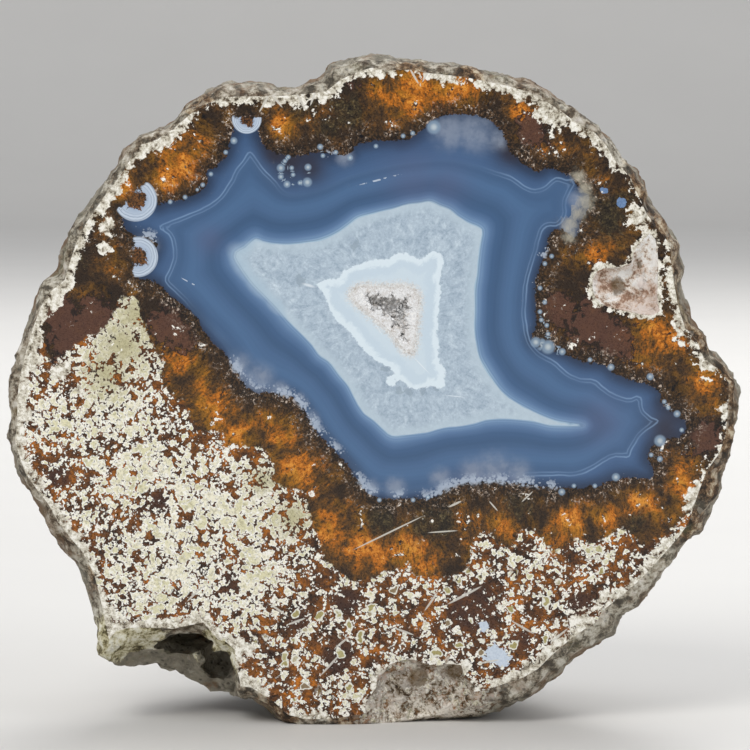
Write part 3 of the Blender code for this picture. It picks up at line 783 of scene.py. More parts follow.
def on_face(places, corners):
    """True for each triangle of the mesh that lies in the polished plane."""
    flat = np.abs(places[:, 1] - FACE_Y) < FACE_SLACK
    return flat[corners].all(1)


def choose_slot(piece, slot):
    """Selects the faces of one material slot, in edit mode."""
    bpy.ops.mesh.select_mode(type="FACE")
    bpy.ops.mesh.select_all(action="DESELECT")
    piece.active_material_index = slot
    bpy.ops.object.material_slot_select()


def refine(piece, slot, longest):
    """Splits the long edges of one material's faces until none is longer than the given length."""
    for _ in range(SPLITS):
        choose_slot(piece, slot)
        bpy.ops.mesh.quads_convert_to_tris(quad_method="SHORTEST_DIAGONAL", ngon_method="BEAUTY")
        shape = bmesh.from_edit_mesh(piece.data)
        long_edges = [edge for edge in shape.edges if edge.select and edge.calc_length() > longest]
        if not long_edges:
            break
        bpy.ops.mesh.select_all(action="DESELECT")
        bpy.ops.mesh.select_mode(type="EDGE")
        for edge in long_edges:
            edge.select = True
        bpy.ops.mesh.subdivide(number_cuts=1, quadcorner="STRAIGHT_CUT")
    bpy.ops.mesh.select_all(action="SELECT")
    bpy.ops.mesh.quads_convert_to_tris(quad_method="SHORTEST_DIAGONAL", ngon_method="BEAUTY")


def mark_tree():
    """The places of the small marks on the face, to be searched by distance."""
    places = [(x, z) for x, z, radius in EYES]
    for x, z, length, width, tilt in NEEDLES + SCRATCHES + CRACKS:
        turn = math.radians(tilt)
        for step in np.linspace(-length, length, 9):
            places.append((x + step * math.cos(turn), z + step * math.sin(turn)))
    tree = KDTree(len(places))
    for index, (x, z) in enumerate(places):
        tree.insert((x * MM, FACE_Y * MM, z * MM), index)
    tree.balance()
    return tree


def refine_marks(piece, longest):
    """Splits the mesh of the polished face more finely at the small marks."""
    tree = mark_tree()
    for _ in range(MARK_SPLITS):
        choose_slot(piece, POLISHED)
        shape = bmesh.from_edit_mesh(piece.data)
        near = []
        for edge in shape.edges:
            if edge.select and edge.calc_length() > longest:
                middle = (edge.verts[0].co + edge.verts[1].co) / 2
                if tree.find(middle)[2] < MARK_REACH:
                    near.append(edge)
        bpy.ops.mesh.select_all(action="DESELECT")
        bpy.ops.mesh.select_mode(type="EDGE")
        for edge in near:
            edge.select = True
        bpy.ops.mesh.subdivide(number_cuts=1, quadcorner="STRAIGHT_CUT")
    bpy.ops.mesh.select_all(action="SELECT")
    bpy.ops.mesh.quads_convert_to_tris(quad_method="SHORTEST_DIAGONAL", ngon_method="BEAUTY")


def rule_face(piece, spacing):
    """Cuts the polished face along lines both ways, so that its triangles become compact."""
    low, high = CAD_BOX
    for axis in (0, 2):
        normal = tuple(1.0 if index == axis else 0.0 for index in range(3))
        reach = low[axis] + spacing
        while reach < high[axis]:
            choose_slot(piece, POLISHED)
            place = tuple(reach if index == axis else 0.0 for index in range(3))
            bpy.ops.mesh.bisect(plane_co=place, plane_no=normal)
            reach += spacing


def displaced(piece, name, kind, size, height, settings):
    """Pushes the rough parts of a piece in and out by a texture of a given grain, for good."""
    grain = bpy.data.textures.new(name, kind)
    grain.noise_scale = size * MM
    for key, setting in settings.items():
        setattr(grain, key, setting)
    push = piece.modifiers.new(name, "DISPLACE")
    push.texture = grain
    push.texture_coords = "LOCAL"
    push.vertex_group = "rough"
    push.mid_level = 0.5
    push.strength = height
    select_only(piece)
    bpy.ops.object.modifier_apply(modifier=push.name)


def roughness_weights(places, polished):
    """How rough each point of the stone may be: nothing on the polished face and on the resting spot."""
    behind = places[:, 1] - FACE_Y
    weights = np.clip(behind / ROUGH_DEPTH, 0.0, 1.0)
    weights *= np.clip(places[:, 2] / ROUGH_HEIGHT, 0.0, 1.0)
    weights[polished] = 0.0
    return weights


def set_group(piece, name, weights):
    """Gives a piece a vertex group in steps of weight."""
    group = piece.vertex_groups.new(name=name)
    steps = np.round(weights * WEIGHT_STEPS).astype(int)
    for step in range(1, WEIGHT_STEPS + 1):
        group.add(np.flatnonzero(steps == step).tolist(), step / WEIGHT_STEPS, "REPLACE")


def store(piece, name, values):
    """Keeps a number or a vector for each point on the mesh."""
    if values.ndim == 1:
        piece.data.attributes.new(name, "FLOAT", "POINT").data.foreach_set("value", values)
    else:
        piece.data.attributes.new(name, "FLOAT_VECTOR", "POINT").data.foreach_set("vector", values.ravel())


def corner_numbers(piece):
    """The three corners of each triangle of the mesh, and its material slot."""
    corners = np.zeros(len(piece.data.loops), int)
    piece.data.loops.foreach_get("vertex_index", corners)
    slots = np.zeros(len(piece.data.polygons), int)
    piece.data.polygons.foreach_get("material_index", slots)
    return corners.reshape(-1, 3), slots


def rim_distance(piece, places, flat):
    """How far each place is from the outer edge of the polished face, in mm."""
    corners, slots = corner_numbers(piece)
    every = corner_places(piece)
    shared = np.intersect1d(corners[slots == POLISHED], corners[slots == ROUGH])
    edge = every[shared][:, (0, 2)]
    edge = edge[(inside_distance(edge, HOLLOW) < -RIM_CLEAR) & (inside_distance(edge, POCKET) < -RIM_CLEAR)]
    tree = KDTree(len(edge))
    for index, (x, z) in enumerate(edge):
        tree.insert((x, z, 0.0), index)
    tree.balance()
    return np.array([tree.find((x, z, 0.0))[2] for x, z in flat])


def share_face(piece):
    """Gives the parts of the polished face their own materials, by their distance from the contact."""
    corners, slots = corner_numbers(piece)
    contact = np.zeros(len(piece.data.vertices))
    piece.data.attributes["contact"].data.foreach_get("value", contact)
    face = slots == POLISHED
    slots[face & (contact[corners].min(1) > SHORE_WIDTH)] = BANDED
    slots[face & (contact[corners].max(1) < -SHORE_WIDTH)] = SPECKLED
    piece.data.polygons.foreach_set("material_index", slots)


def store_markings(piece):
    """Keeps the distances to the markings of the face on the mesh. Far behind the face all are far."""
    places = corner_places(piece)
    near = places[:, 1] < FACE_Y + MARKED_DEPTH
    flat = places[near][:, (0, 2)]

    def store_near(name, values, far):
        every = np.full((len(places),) + values.shape[1:], far)
        every[near] = values
        store(piece, name, every)

    contact = inside_distance(flat, CONTACT)
    line = inside_distance(flat, LINE)
    quartz = inside_distance(flat, QUARTZ)
    for name, values in (("contact", contact), ("line", line), ("quartz", quartz)):
        store_near(name, values, -FAR)
    store_near("foot", nearest_shore(flat, CONTACT), 0.0)
    store_near("layers", np.clip(line / np.maximum(line - quartz, LAYER_GAP), *LAYER_ENDS), 0.0)
    store_near("shore", np.clip(contact / np.maximum(contact - line, LAYER_GAP), *LAYER_ENDS), 0.0)
    for name, outline in (("inner", INNER), ("matrix", MATRIX), ("hollow", HOLLOW), ("pocket", POCKET)):
        store_near(name, inside_distance(flat, outline), -FAR)
    for name, spots in SPOTS.items():
        store_near(name, spot_strength(flat, spots), 0.0)
    for name, marks in MARKS.items():
        seen, gap = nearest_mark(flat, marks)
        store_near(name, seen, FAR)
        store_near(name + "_gap", gap, FAR)
    store_near("rim", rim_distance(piece, places[near], flat), FAR)
    store_near("behind", places[near][:, 1] - FACE_Y, FAR)
    store_near("moon_cut", moon_cuts(flat), 1.0)
    store_near("ray", rays_from_middle(flat), 0.0)


def moon_cuts(flat):
    """How far each place is on the kept side of its half-moon's cut, in that half-moon's radii."""
    cut = np.full(len(flat), 1.0)
    for x, z, radius, tilt, share in MOONS:
        turn = math.radians(tilt)
        offset = flat - (x, z)
        beyond = share - (offset[:, 0] * math.cos(turn) + offset[:, 1] * math.sin(turn)) / radius
        here = np.hypot(offset[:, 0], offset[:, 1]) < radius * MOON_REACH
        cut[here] = beyond[here]
    return cut


def rays_from_middle(flat):
    """A place for each point in which noise runs as rays around the hollow."""
    middle = np.array(HOLLOW_CENTRE)
    turn = np.arctan2(flat[:, 1] - middle[1], flat[:, 0] - middle[0])
    away = np.hypot(flat[:, 0] - middle[0], flat[:, 1] - middle[1])
    return np.stack([np.cos(turn) * RAY_SPREAD, np.sin(turn) * RAY_SPREAD, away * RAY_STRETCH], 1)


def mark_edge(paint, name):
    """How far a place is from the middle of its mark, 1 at the mark's edge."""
    seen = paint.attribute(name, "Vector")
    return paint.value("ShaderNodeVectorMath", {"operation": "LENGTH"}, {0: seen}, "Value")


def jasper_colour(paint, contact):
    """Orange and brown jasper in soft plumes that stand on the contact, darkest next to it."""
    plumes = paint.noise(0.8, 4.0, 0.68, 0.7, paint.plumed(0.7))
    threads = paint.noise(2.6, 3.0, 0.7, 0.4, paint.plumed(0.6))
    warmth = paint.broad.swing(1.7) + plumes.swing(1.1) + threads.swing(0.8)
    warmth = warmth + paint.fine.swing(0.7) + paint.attribute("orange_spots") * 0.5 + 0.3
    base = paint.ramp(warmth, (
        (0.1, 44, 32, 22), (0.3, 68, 48, 28), (0.48, 96, 65, 28),
        (0.63, 136, 84, 24), (0.8, paint.colours.orange), (1.0, 220, 146, 56)))
    base = paint.mix(paint.noise(0.3, 2.0, 0.6).rise(0.5, 0.66) * 0.6, base,
                     paint.lit((150, 104, 26), warmth * 1.5))
    base = paint.mix(threads.rise(0.46, 0.36) * 0.6, base, (38, 25, 18))
    base = paint.mix(paint.fine.rise(0.44, 0.34) * 0.55, base, (30, 20, 16))
    olive = paint.ramp(paint.quick * 0.5 + paint.fine * 0.5, (
        (0.38, 15, 13, 11), (0.5, paint.colours.moss), (0.58, 80, 70, 44),
        (0.68, 150, 138, 106)))
    mossy = (paint.attribute("moss_spots") + plumes.swing(2.4)).rise(0.36, 0.86)
    base = paint.mix(mossy * 0.85, base, olive)
    plain = paint.attribute("brown_spots") + paint.quick.swing(1.9) + paint.broad.swing(1.6)
    base = paint.mix(plain.rise(0.3, 0.42) * plain.rise(0.62, 0.46), base, (34, 24, 22))
    brown = paint.mix(paint.fine, (60, 39, 32), paint.colours.brown)
    base = paint.mix(plain.rise(0.48, 0.56) * 0.9, base, brown)
    shadow = (contact + plumes.swing(7.0) + paint.quick.swing(4.0)).rise(-2.6, -0.6)
    dark = paint.mix(paint.fine.rise(0.45, 0.65), (17, 14, 13), (88, 66, 46))
    base = paint.mix(shadow * 0.85, base, dark)
    glint = paint.noise(5.0, 2.0, 0.7).rise(0.66, 0.72) * plumes.rise(0.4, 0.6)
    return paint.mix(glint * 0.7, base, (206, 184, 150))


def fleck_mask(paint, scale, share, place):
    """Small angular grains that fill a share of the place."""
    pick = paint.random_part(paint.cells(scale, "F1", "Color", place), "Red")
    edge = paint.cells(scale, "DISTANCE_TO_EDGE", "Distance", place)
    return (share - pick).rise(-0.02, 0.02) * edge.rise(0.05, 0.16)


def grain_field(paint, place, share):
    """A field that is above 0 in the grains, which are round blobs of two sizes that run together."""
    blobs = 0.48 - paint.cells(1.0, "F1", "Distance", place)
    beads = 0.46 - paint.cells(2.2, "F1", "Distance", place)
    tangle = paint.noise(0.6, 3.0, 0.62, 0.5) - 0.5
    return blobs * 0.75 + beads * 0.65 + tangle * 1.4 + paint.fine.swing(0.7) + share


def clast_colour(paint, scale, share, place, base):
    """Larger grains over a base colour, each with a white rim and a greenish core."""
    seat = paint.cells(scale, "F1", "Color", place)
    size = paint.cells(scale, "F1", "Distance", place) + paint.fine.swing(0.12)
    chosen = (share - paint.random_part(seat, "Red")).rise(-0.02, 0.02)
    core = paint.ramp(paint.random_part(seat, "Green"), (
        (0.2, 170, 160, 104), (0.45, 196, 190, 146), (0.7, 214, 208, 178),
        (0.9, 140, 120, 92)))
    core = paint.mix(paint.fine.rise(0.55, 0.4) * 0.4, core, (130, 118, 84))
    grain = paint.mix(size.rise(0.26, 0.34), core, (228, 226, 214))
    return paint.mix(chosen * size.rise(0.46, 0.42), base, grain)


def matrix_colour(paint):
    """Cream grains with white edges and greenish cores, on a brown and orange ground."""
    place = paint.warped(1.2, 0.9)
    solid = paint.attribute("cream_spots")
    coarse = paint.attribute("coarse_spots")
    green = paint.attribute("green_spots")
    field = grain_field(paint, place, solid * 0.26 + green * 0.16 - coarse * 0.03 - 0.02)
    hole = (paint.attribute("dark_spots") + paint.quick.swing(1.3)).rise(0.35, 0.6)
    field = field - hole * 0.22
    blotch = paint.noise(0.3, 3.0, 0.7, 0.5) + paint.quick.swing(0.6)
    ground = paint.ramp(blotch, (
        (0.32, 48, 32, 22), (0.44, 90, 56, 30), (0.52, paint.colours.ground),
        (0.6, 158, 94, 27), (0.7, 196, 116, 32)))
    ground = paint.mix(paint.fine.rise(0.5, 0.36) * 0.5, ground, (34, 25, 22))
    ground = paint.mix(hole * 0.8, ground, paint.mix(paint.fine, (38, 26, 24), (78, 52, 42)))
    ground = paint.mix(field.rise(-0.2, -0.03) * 0.75, ground, (36, 24, 20))
    warm = paint.mix(paint.broad.rise(0.42, 0.58), (212, 206, 158), (236, 230, 204))
    warm = paint.mix(green, warm, (170, 162, 106))
    warm = paint.mix(paint.fine.rise(0.56, 0.34) * 0.6, warm, (132, 122, 88))
    pale = paint.mix(paint.fine.rise(0.35, 0.6), (214, 211, 198), paint.colours.cream)
    cream = paint.mix(field.rise(0.1, 0.3).above(green) * 0.8, pale, warm)
    speckled = paint.mix(field.rise(-0.03, 0.03), ground, cream)
    rough = clast_colour(paint, 0.62, 0.16, paint.warped(2.2, 0.6), speckled)
    return paint.mix((coarse + paint.quick.swing(1.5)).rise(0.4, 0.6), speckled, rough)


def chalcedony_colour(paint, contact):
    """Blue bands from the shore inwards, with the thin pale line between the outer and inner bands."""
    layers = paint.attribute("layers") + paint.noise(0.08, 1.0).swing(0.16)
    inner = paint.ramp(layers, (
        (0.0, 76, 104, 140), (0.12, 68, 96, 132), (0.3, paint.colours.blue),
        (0.46, 74, 103, 140), (0.62, paint.colours.blue_dark), (0.74, 68, 97, 134),
        (0.86, 90, 120, 158), (0.95, 120, 150, 184), (1.0, 160, 186, 206)))
    outer = paint.ramp(paint.attribute("shore"), (
        (0.0, 52, 72, 102), (0.5, 64, 90, 126), (1.0, 74, 102, 140)))
    line = paint.attribute("line")
    base = paint.mix(line.rise(-0.2, 0.2), outer, inner)
    cloud = paint.attribute("clouds")
    base = paint.mix(contact.rise(2.2, 0.0) * (0.55 - cloud * 0.55), base, (38, 46, 64))
    base = paint.mix(paint.attribute("shade_spots") * 0.85, base, (50, 46, 54))
    fine = (layers * 85.0 + paint.noise(0.2, 1.0) * 8.0).wave()
    wide = (layers * 24.0 + paint.noise(0.06, 1.0) * 9.0).wave()
    base = paint.lit(base, 1.0 + fine * 0.012 + wide * 0.012)
    wobble = line + paint.noise(0.5, 1.0).swing(0.3)
    first = wobble.rise(-0.2, -0.02) * wobble.rise(0.16, 0.0)
    second = wobble.rise(0.3, 0.45) * wobble.rise(0.62, 0.46)
    lines = (first + second * 0.6) * paint.attribute("line_spots")
    base = paint.mix(lines * 0.5, base, paint.colours.blue_pale)
    edge = paint.attribute("quartz")
    base = paint.mix((edge + 0.62).rise(-0.12, 0.0) * (edge + 0.62).rise(0.2, 0.04) * 0.7, base,
                     (102, 132, 168))
    base = paint.mix((edge + 0.24).rise(-0.12, 0.0) * (edge + 0.24).rise(0.14, 0.02) * 0.5, base,
                     (92, 122, 156))
    mist = cloud * (0.62 + paint.noise(0.6, 3.0, 0.6).rise(0.3, 0.7) * 0.38)
    base = paint.mix(mist.rise(0.1, 1.0) * 0.65, base, (148, 158, 174))
    dots = mark_edge(paint, "scratch").rise(1.0, 0.6) * paint.noise(1.4, 1.0).rise(0.5, 0.56)
    base = paint.mix(dots * 0.8, base, (200, 212, 226))
    return paint.mix(paint.attribute("violet_spots") * 0.4, base, (92, 98, 130))


def quartz_colour(paint):
    """Grey quartz with fine crystals that run inwards, and the whiter quartz in the middle."""
    streaks = paint.noise(0.7, 4.0, 0.72, 0.8)
    hairs = paint.noise(1.0, 3.0, 0.7, 0.3, paint.attribute("ray", "Vector"))
    edge = paint.attribute("quartz")
    tone = 0.5 + streaks.swing(0.8) + hairs.swing(0.35) + paint.fine.swing(0.5)
    grey = paint.ramp(tone, (
        (0.2, 134, 151, 167), (0.42, 162, 179, 195), (0.58, paint.colours.quartz),
        (0.8, 212, 224, 233)))
    grey = paint.mix(edge.rise(1.9, 0.3) * 0.75, grey, (184, 201, 213))
    depth = paint.attribute("inner")
    inner = depth + paint.quick.swing(1.4)
    deep = depth + streaks.swing(1.8)
    deep = deep + paint.broad.swing(2.0)
    milk = paint.mix(deep.rise(0.6, 1.2), paint.colours.quartz_white, (198, 214, 226))
    milk = paint.mix(deep.rise(1.8, 2.6) * 0.6, milk, (208, 222, 231))
    milk = paint.lit(milk, 0.97 + paint.fine * 0.06)
    colour = paint.mix(inner.rise(-0.1, 0.12), grey, milk)
    notch = (paint.attribute("notch_spots") + streaks.swing(2.2)).rise(0.55, 0.7)
    colour = paint.mix(notch * inner.rise(0.05, -0.1) * 0.7, colour, (142, 158, 172))
    crack = mark_edge(paint, "crack").rise(1.0, 0.2) * paint.attribute("crack_gap").rise(1.6, 1.3)
    colour = paint.mix(crack * 0.6, colour, (236, 242, 246))
    gap = 0.0 - paint.attribute("hollow")
    sandy = (gap + paint.fine.swing(2.6)).rise(1.3, 0.1)
    sand = paint.ramp(paint.noise(3.6, 3.0, 0.85, 0.4), (
        (0.34, 164, 150, 136), (0.44, 204, 197, 190), (0.58, 226, 224, 221),
        (0.68, 250, 250, 248)))
    return paint.mix(sandy * 0.85, colour, sand)


def eye_colour(paint, base):
    """Small pale eyes, and half-moons with fine rings, over the colour below."""
    size = mark_edge(paint, "eye")
    disc = paint.mix(size.rise(0.6, 0.1), (132, 154, 176), (196, 208, 214))
    base = paint.mix(size.rise(1.05, 0.6) * paint.attribute("eye_gap").rise(1.5, 1.3) * 0.8, base, disc)
    size = mark_edge(paint, "moon")
    here = size.rise(1.02, 0.95) * paint.attribute("moon_gap").rise(1.25, 1.1)
    here = here * (paint.attribute("moon_cut") + paint.quick.swing(0.9)).rise(-0.06, 0.06)
    drawn = size + paint.broad.swing(0.3)
    ring = (drawn * 48.0).wave().rise(0.2, 1.0) * size.rise(0.55, 0.8)
    pale = paint.mix(size.rise(0.3, 0.9), (158, 176, 200), (196, 208, 222))
    pale = paint.mix(ring * 0.6, pale, (112, 134, 164))
    core = (size + paint.quick.swing(1.1)).rise(0.5, 0.42)
    pale = paint.mix(core, pale, paint.mix(paint.fine.rise(0.4, 0.6), (38, 30, 24), (120, 78, 40)))
    return paint.mix(here * 0.95, base, pale)


def chalk_colour(paint, light):
    """White and cream lumps with dark gaps, at a light value from 0 to 1. On the face these are the stone's
    own colours; on the rind the bright tops and dark gaps are painted light and shade.
    """
    return paint.ramp(light, (
        (0.1, 48, 40, 32), (0.3, 112, 102, 86), (0.5, 186, 178, 160),
        (0.7, 222, 217, 203), (0.9, 244, 241, 232)))


def stone_colour(paint, contact):
    """Jasper next to the bands, the speckled matrix further out, and chalky lumps at the rim."""
    jasper = jasper_colour(paint, contact)
    lace = paint.noise(2.2, 3.0, 0.85, 0.4).rise(0.54, 0.6) * contact.rise(-3.6, -1.0)
    lace = lace * paint.noise(0.5, 3.0, 0.7).rise(0.48, 0.58)
    jasper = paint.mix(lace * 0.8, jasper, paint.mix(paint.fine, (170, 140, 120), (232, 222, 208)))
    matrix = paint.attribute("matrix") + paint.quick.swing(2.6)
    stone = paint.mix(matrix.rise(-0.1, 0.2), jasper, matrix_colour(paint))
    blue = paint.attribute("pale_blue_spots") + paint.quick.swing(1.5)
    pale = paint.mix(paint.fine, (170, 186, 206), (222, 230, 238))
    stone = paint.mix(blue.rise(0.5, 0.54), stone, pale)
    blue = paint.attribute("blue_spots") + paint.quick.swing(0.9)
    deep = paint.mix(paint.fine, (64, 94, 140), (132, 160, 196))
    stone = paint.mix(blue.rise(0.5, 0.54), stone, deep)
    lumps = 0.5 - paint.cells(0.8, "F1", "Distance", paint.warped(1.2, 0.9))
    light = lumps * 0.6 + paint.quick.swing(2.2) + paint.fine.swing(0.8)
    bare = paint.attribute("bare_spots").above(paint.attribute("chip"))
    rim = paint.attribute("rim").rise(3.0, 0.0) * 1.4 - bare * 0.75 - 0.85
    rim = rim.above(paint.attribute("pocket").rise(-1.8, 0.0) * 1.2 - 0.85)
    spots = paint.attribute("chalk_spots") * 1.2 - 0.6
    chalk = (light + rim.above(spots) + paint.broad.swing(2.4)).rise(-0.02, 0.06)
    stone = paint.mix(chalk, stone, chalk_colour(paint, light + 0.6))
    needles = mark_edge(paint, "needle").rise(1.05, 0.8) * paint.attribute("needle_gap").rise(1.6, 1.3)
    return paint.mix(needles * 0.85, stone, (208, 204, 194))


def banded_colour(paint, contact):
    """The blue bands and the quartz inside them."""
    edge = paint.attribute("quartz") + paint.noise(0.5, 1.0).swing(0.25)
    edge = edge / (0.09 + paint.attribute("soft_spots") * 2.6)
    return paint.mix(edge.rise(-1.0, 1.0), chalcedony_colour(paint, contact), quartz_colour(paint))


def crumb_mask(paint, ragged):
    """White frost that lies in lumps on the bands, right along the jasper."""
    lumps = 0.6 - paint.cells(2.2, "F1", "Distance", paint.warped(0.5, 1.5))
    seat = ragged.rise(-0.5, 0.1) * ragged.rise(1.7, 0.5)
    share = paint.attribute("frost_spots") * 0.9 + paint.broad.swing(0.5) - 0.42
    return (lumps + share + paint.fine.swing(0.6)).rise(0.1, 0.4) * seat


def polished(paint, colour, rough):
    """Finishes a polished material."""
    return paint.finish({"Base Color": eye_colour(paint, colour), "Roughness": rough, "IOR": 1.54,
                         "Specular IOR Level": 0.35})


def shore_material(colours):
    """The polished face where the bands and the jasper meet in a ragged fringe."""
    paint = Paint("polished shore", colours)
    contact = paint.attribute("contact")
    ragged = contact + paint.quick.swing(1.7) + paint.fine.swing(0.7)
    colour = paint.mix(
        ragged.rise(-0.05, 0.14), stone_colour(paint, contact), banded_colour(paint, contact))
    colour = paint.mix(crumb_mask(paint, ragged) * 0.75, colour, (178, 190, 206))
    wisp = (paint.attribute("wisp_spots") + paint.quick.swing(1.4)).rise(0.15, 1.1)
    colour = paint.mix(wisp * 0.7, colour, (186, 180, 162))
    return polished(paint, colour, 0.16 + ragged.rise(0.4, -0.4) * 0.12)


def banded_material(colours):
    """The polished face of the chalcedony and the quartz."""
    paint = Paint("polished bands", colours)
    contact = paint.attribute("contact")
    return polished(paint, banded_colour(paint, contact), 0.16)


def speckled_material(colours):
    """The polished face of the jasper and the matrix."""
    paint = Paint("polished matrix", colours)
    contact = paint.attribute("contact")
    return polished(paint, stone_colour(paint, contact), 0.22 + paint.fine * 0.12)


def rind_material(colours):
    """The weathered outside of the nodule, with its chalky and broken places. Its colour holds painted light
    and shade: lump tops painted bright and their gaps dark, pits painted dark, and the broken corner painted
    paler as fill light.
    """
    paint = Paint("rough rind", colours)
    patch = paint.noise(0.5, 5.0, 0.68, 0.4)
    grain = paint.noise(2.2, 5.0, 0.75)
    # Painted light and shade: lumps is bright in the middle of each cell and dark at its edges. Through dull
    # and light it reaches the chalk, earthy, pocket and corner colours below, as lit lump tops and shaded
    # gaps over the rind's own patchy tone.
    lumps = 0.5 - paint.cells(0.55, "F1", "Distance", paint.warped(1.4, 0.7))
    light = 0.5 + lumps * 0.8 + patch.swing(1.8) + grain.swing(1.6)
    broad = paint.noise(0.09, 4.0, 0.65)
    dull = paint.lit(paint.colours.rind, patch.swing(0.9) + grain.swing(0.7) + lumps * 0.3 + 0.62)
    brown = paint.lit((128, 98, 70), patch.swing(1.0) + grain.swing(1.0) + 0.9)
    dull = paint.mix((broad + patch.swing(0.3)).rise(0.5, 0.58) * 0.75, dull, brown)
    near = (paint.attribute("behind") + broad.swing(6.0)).rise(5.5, 1.0)
    base = paint.mix(near * 0.7, dull, chalk_colour(paint, light - 0.08))
    earthy = paint.ramp(light, (
        (0.2, 38, 28, 21), (0.45, 98, 66, 38), (0.62, 138, 104, 66),
        (0.85, 206, 190, 160)))
    bare = (paint.attribute("bare_spots") + patch.swing(1.2)).rise(0.15, 0.5) * near
    base = paint.mix(bare * 0.8, base, earthy)
    rust = (paint.noise(0.3, 4.0, 0.7) + grain.swing(0.6)).rise(0.56, 0.7)
    base = paint.mix(rust * 0.5, base, (112, 76, 44))
    green = paint.noise(0.16, 3.0, 0.6).rise(0.54, 0.7)
    base = paint.mix(green * 0.3, base, (118, 116, 78))
    speck = fleck_mask(paint, 0.8, 0.16, paint.warped(1.4, 0.9))
    base = paint.mix(speck * 0.3, base, (206, 200, 184))
    # Painted shade: the pits are painted dark brown, and the same mask sinks them in the bump below.
    pits_with_painted_shade = paint.cells(0.9, "F1", "Distance", paint.warped(0.7, 0.9)).rise(0.34, 0.1)
    base = paint.mix(pits_with_painted_shade * 0.5, base, (48, 41, 33))
    pocket = (paint.attribute("pocket") + grain.swing(1.2)).rise(-0.4, 0.2)
    chalky = paint.ramp(light + 0.08, (
        (0.22, 128, 100, 80), (0.4, 204, 184, 166), (0.56, 238, 230, 220),
        (0.75, 252, 250, 246)))
    chalky = paint.mix(broad.rise(0.46, 0.6) * 0.4, chalky, (206, 164, 140))
    stain = (paint.attribute("rust_spots") + patch.swing(1.2)).rise(0.4, 0.7)
    base = paint.mix(pocket, base, chalky)
    chip = paint.attribute("chip").rise(0.25, 0.6)
    pinkish = paint.ramp(0.5 + patch.swing(2.4) + grain.swing(2.0), (
        (0.12, 52, 42, 28), (0.3, 128, 110, 80), (0.44, 206, 194, 174),
        (0.66, 246, 238, 226)))
    base = paint.mix(chip * 0.9, base, pinkish)
    cut = (paint.attribute("behind") + patch.swing(7.0)).rise(3.4, 2.2)
    cut = cut * paint.attribute("chip").rise(0.1, 0.3)
    base = paint.mix(cut * 0.4, base, matrix_colour(paint))
    # Painted fill light: the broken corner faces downward into shade, so its cream olive is painted much
    # paler, up to near white, along with the lump shading of light.
    corner = (paint.attribute("corner_spots") + patch.swing(1.0)).rise(0.22, 0.5)
    base = paint.mix(corner * 0.9, base, paint.ramp(light + 0.04, (
        (0.16, 66, 58, 36), (0.36, 142, 132, 92), (0.56, 218, 210, 172),
        (0.86, 250, 247, 230))))
    base = paint.mix(stain * 0.8, base, paint.mix(grain, (58, 44, 26), (132, 106, 70)))
    hollow = paint.attribute("hollow").rise(-0.5, 0.0)
    wall = paint.mix(grain.rise(0.35, 0.6), (150, 142, 132), (218, 215, 212))
    base = paint.mix(hollow, base, wall)
    height = patch * 0.5 + grain * 0.35 + paint.noise(6.0, 3.0, 0.7) * 0.15 - pits_with_painted_shade * 0.3
    return paint.finish({
        "Base Color": base,
        "Roughness": 0.82 + grain.swing(0.2),
        "Normal": paint.bump(height, 0.8),
        "Specular IOR Level": 0.3,
    })


def crystal_material(colours):
    """Clear grey quartz with beige and brown stains."""
    paint = Paint("hollow crystals", colours)
    stain = paint.noise(0.55, 3.0, 0.7)
    sparkle = paint.noise(3.0, 3.0, 0.7)
    colour = paint.ramp(stain * 0.5 + sparkle * 0.5, (
        (0.34, 170, 156, 138), (0.42, 216, 212, 208), (0.56, 236, 237, 238),
        (0.68, 252, 250, 246)))
    return paint.finish({
        "Base Color": colour,
        "Roughness": 0.2 + sparkle * 0.15,
        "Transmission Weight": 0.08,
        "IOR": 1.544,
    })


def floor_material(colours):
    """A plain pale floor."""
    paint = Paint("pale floor", colours)
    tone = paint.noise(0.02, 2.0)
    return paint.finish({
        "Base Color": paint.lit(paint.colours.floor, 0.98 + tone * 0.04),
        "Roughness": 0.6,
    })


class AGATE_OT_stone(bpy.types.Operator):
    """Dresses the stone: a finely divided polished face and a rough rind"""
    bl_idname = "agate.stone"
    bl_label = "Stone"

    def execute(self, context):
        sizes = context.scene.agate_sizes
        colours = context.scene.agate_colours
        stone = copy_of_node("agate_stone", "stone")
        for material in (shore_material, banded_material, speckled_material, rind_material):
            stone.data.materials.append(material(colours))
        flat = on_face(corner_places(stone), corner_numbers(stone)[0])
        stone.data.polygons.foreach_set("material_index", np.where(flat, POLISHED, ROUGH))
        bpy.ops.object.mode_set(mode="EDIT")
        rule_face(stone, FACE_CELL)
        refine(stone, POLISHED, sizes.face_edge)
        refine(stone, ROUGH, sizes.rind_edge)
        bpy.ops.mesh.dissolve_degenerate(threshold=SAME_PLACE)
        refine_marks(stone, sizes.mark_edge)
        bpy.ops.object.mode_set(mode="OBJECT")
        places = corner_places(stone)
        polished = np.abs(places[:, 1] - FACE_Y) < FACE_SLACK
        set_group(stone, "rough", roughness_weights(places, polished))
        for name, kind, size, height, options in RIND_LAYERS:
            displaced(stone, name, kind, size, getattr(sizes, height), options)
        store_markings(stone)
        share_face(stone)
        select_only(stone)
        bpy.ops.object.shade_smooth_by_angle(angle=SHARP_ANGLE)
        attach(stone, "root")
        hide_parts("stone")
        return {"FINISHED"}


def meet_wall(druse):
    """Widens the crust so that it meets the wall of the hollow with no gap."""
    for corner in druse.data.vertices:
        corner.co.x = (HOLLOW_CENTRE[0] + (corner.co.x / MM - HOLLOW_CENTRE[0]) * CRUST_WIDER) * MM
        corner.co.z = (HOLLOW_CENTRE[1] + (corner.co.z / MM - HOLLOW_CENTRE[1]) * CRUST_WIDER) * MM
        corner.co.y = (FACE_Y + CRUST_BEHIND + (corner.co.y / MM - CRUST_FRONT) * CRUST_FLATTER) * MM


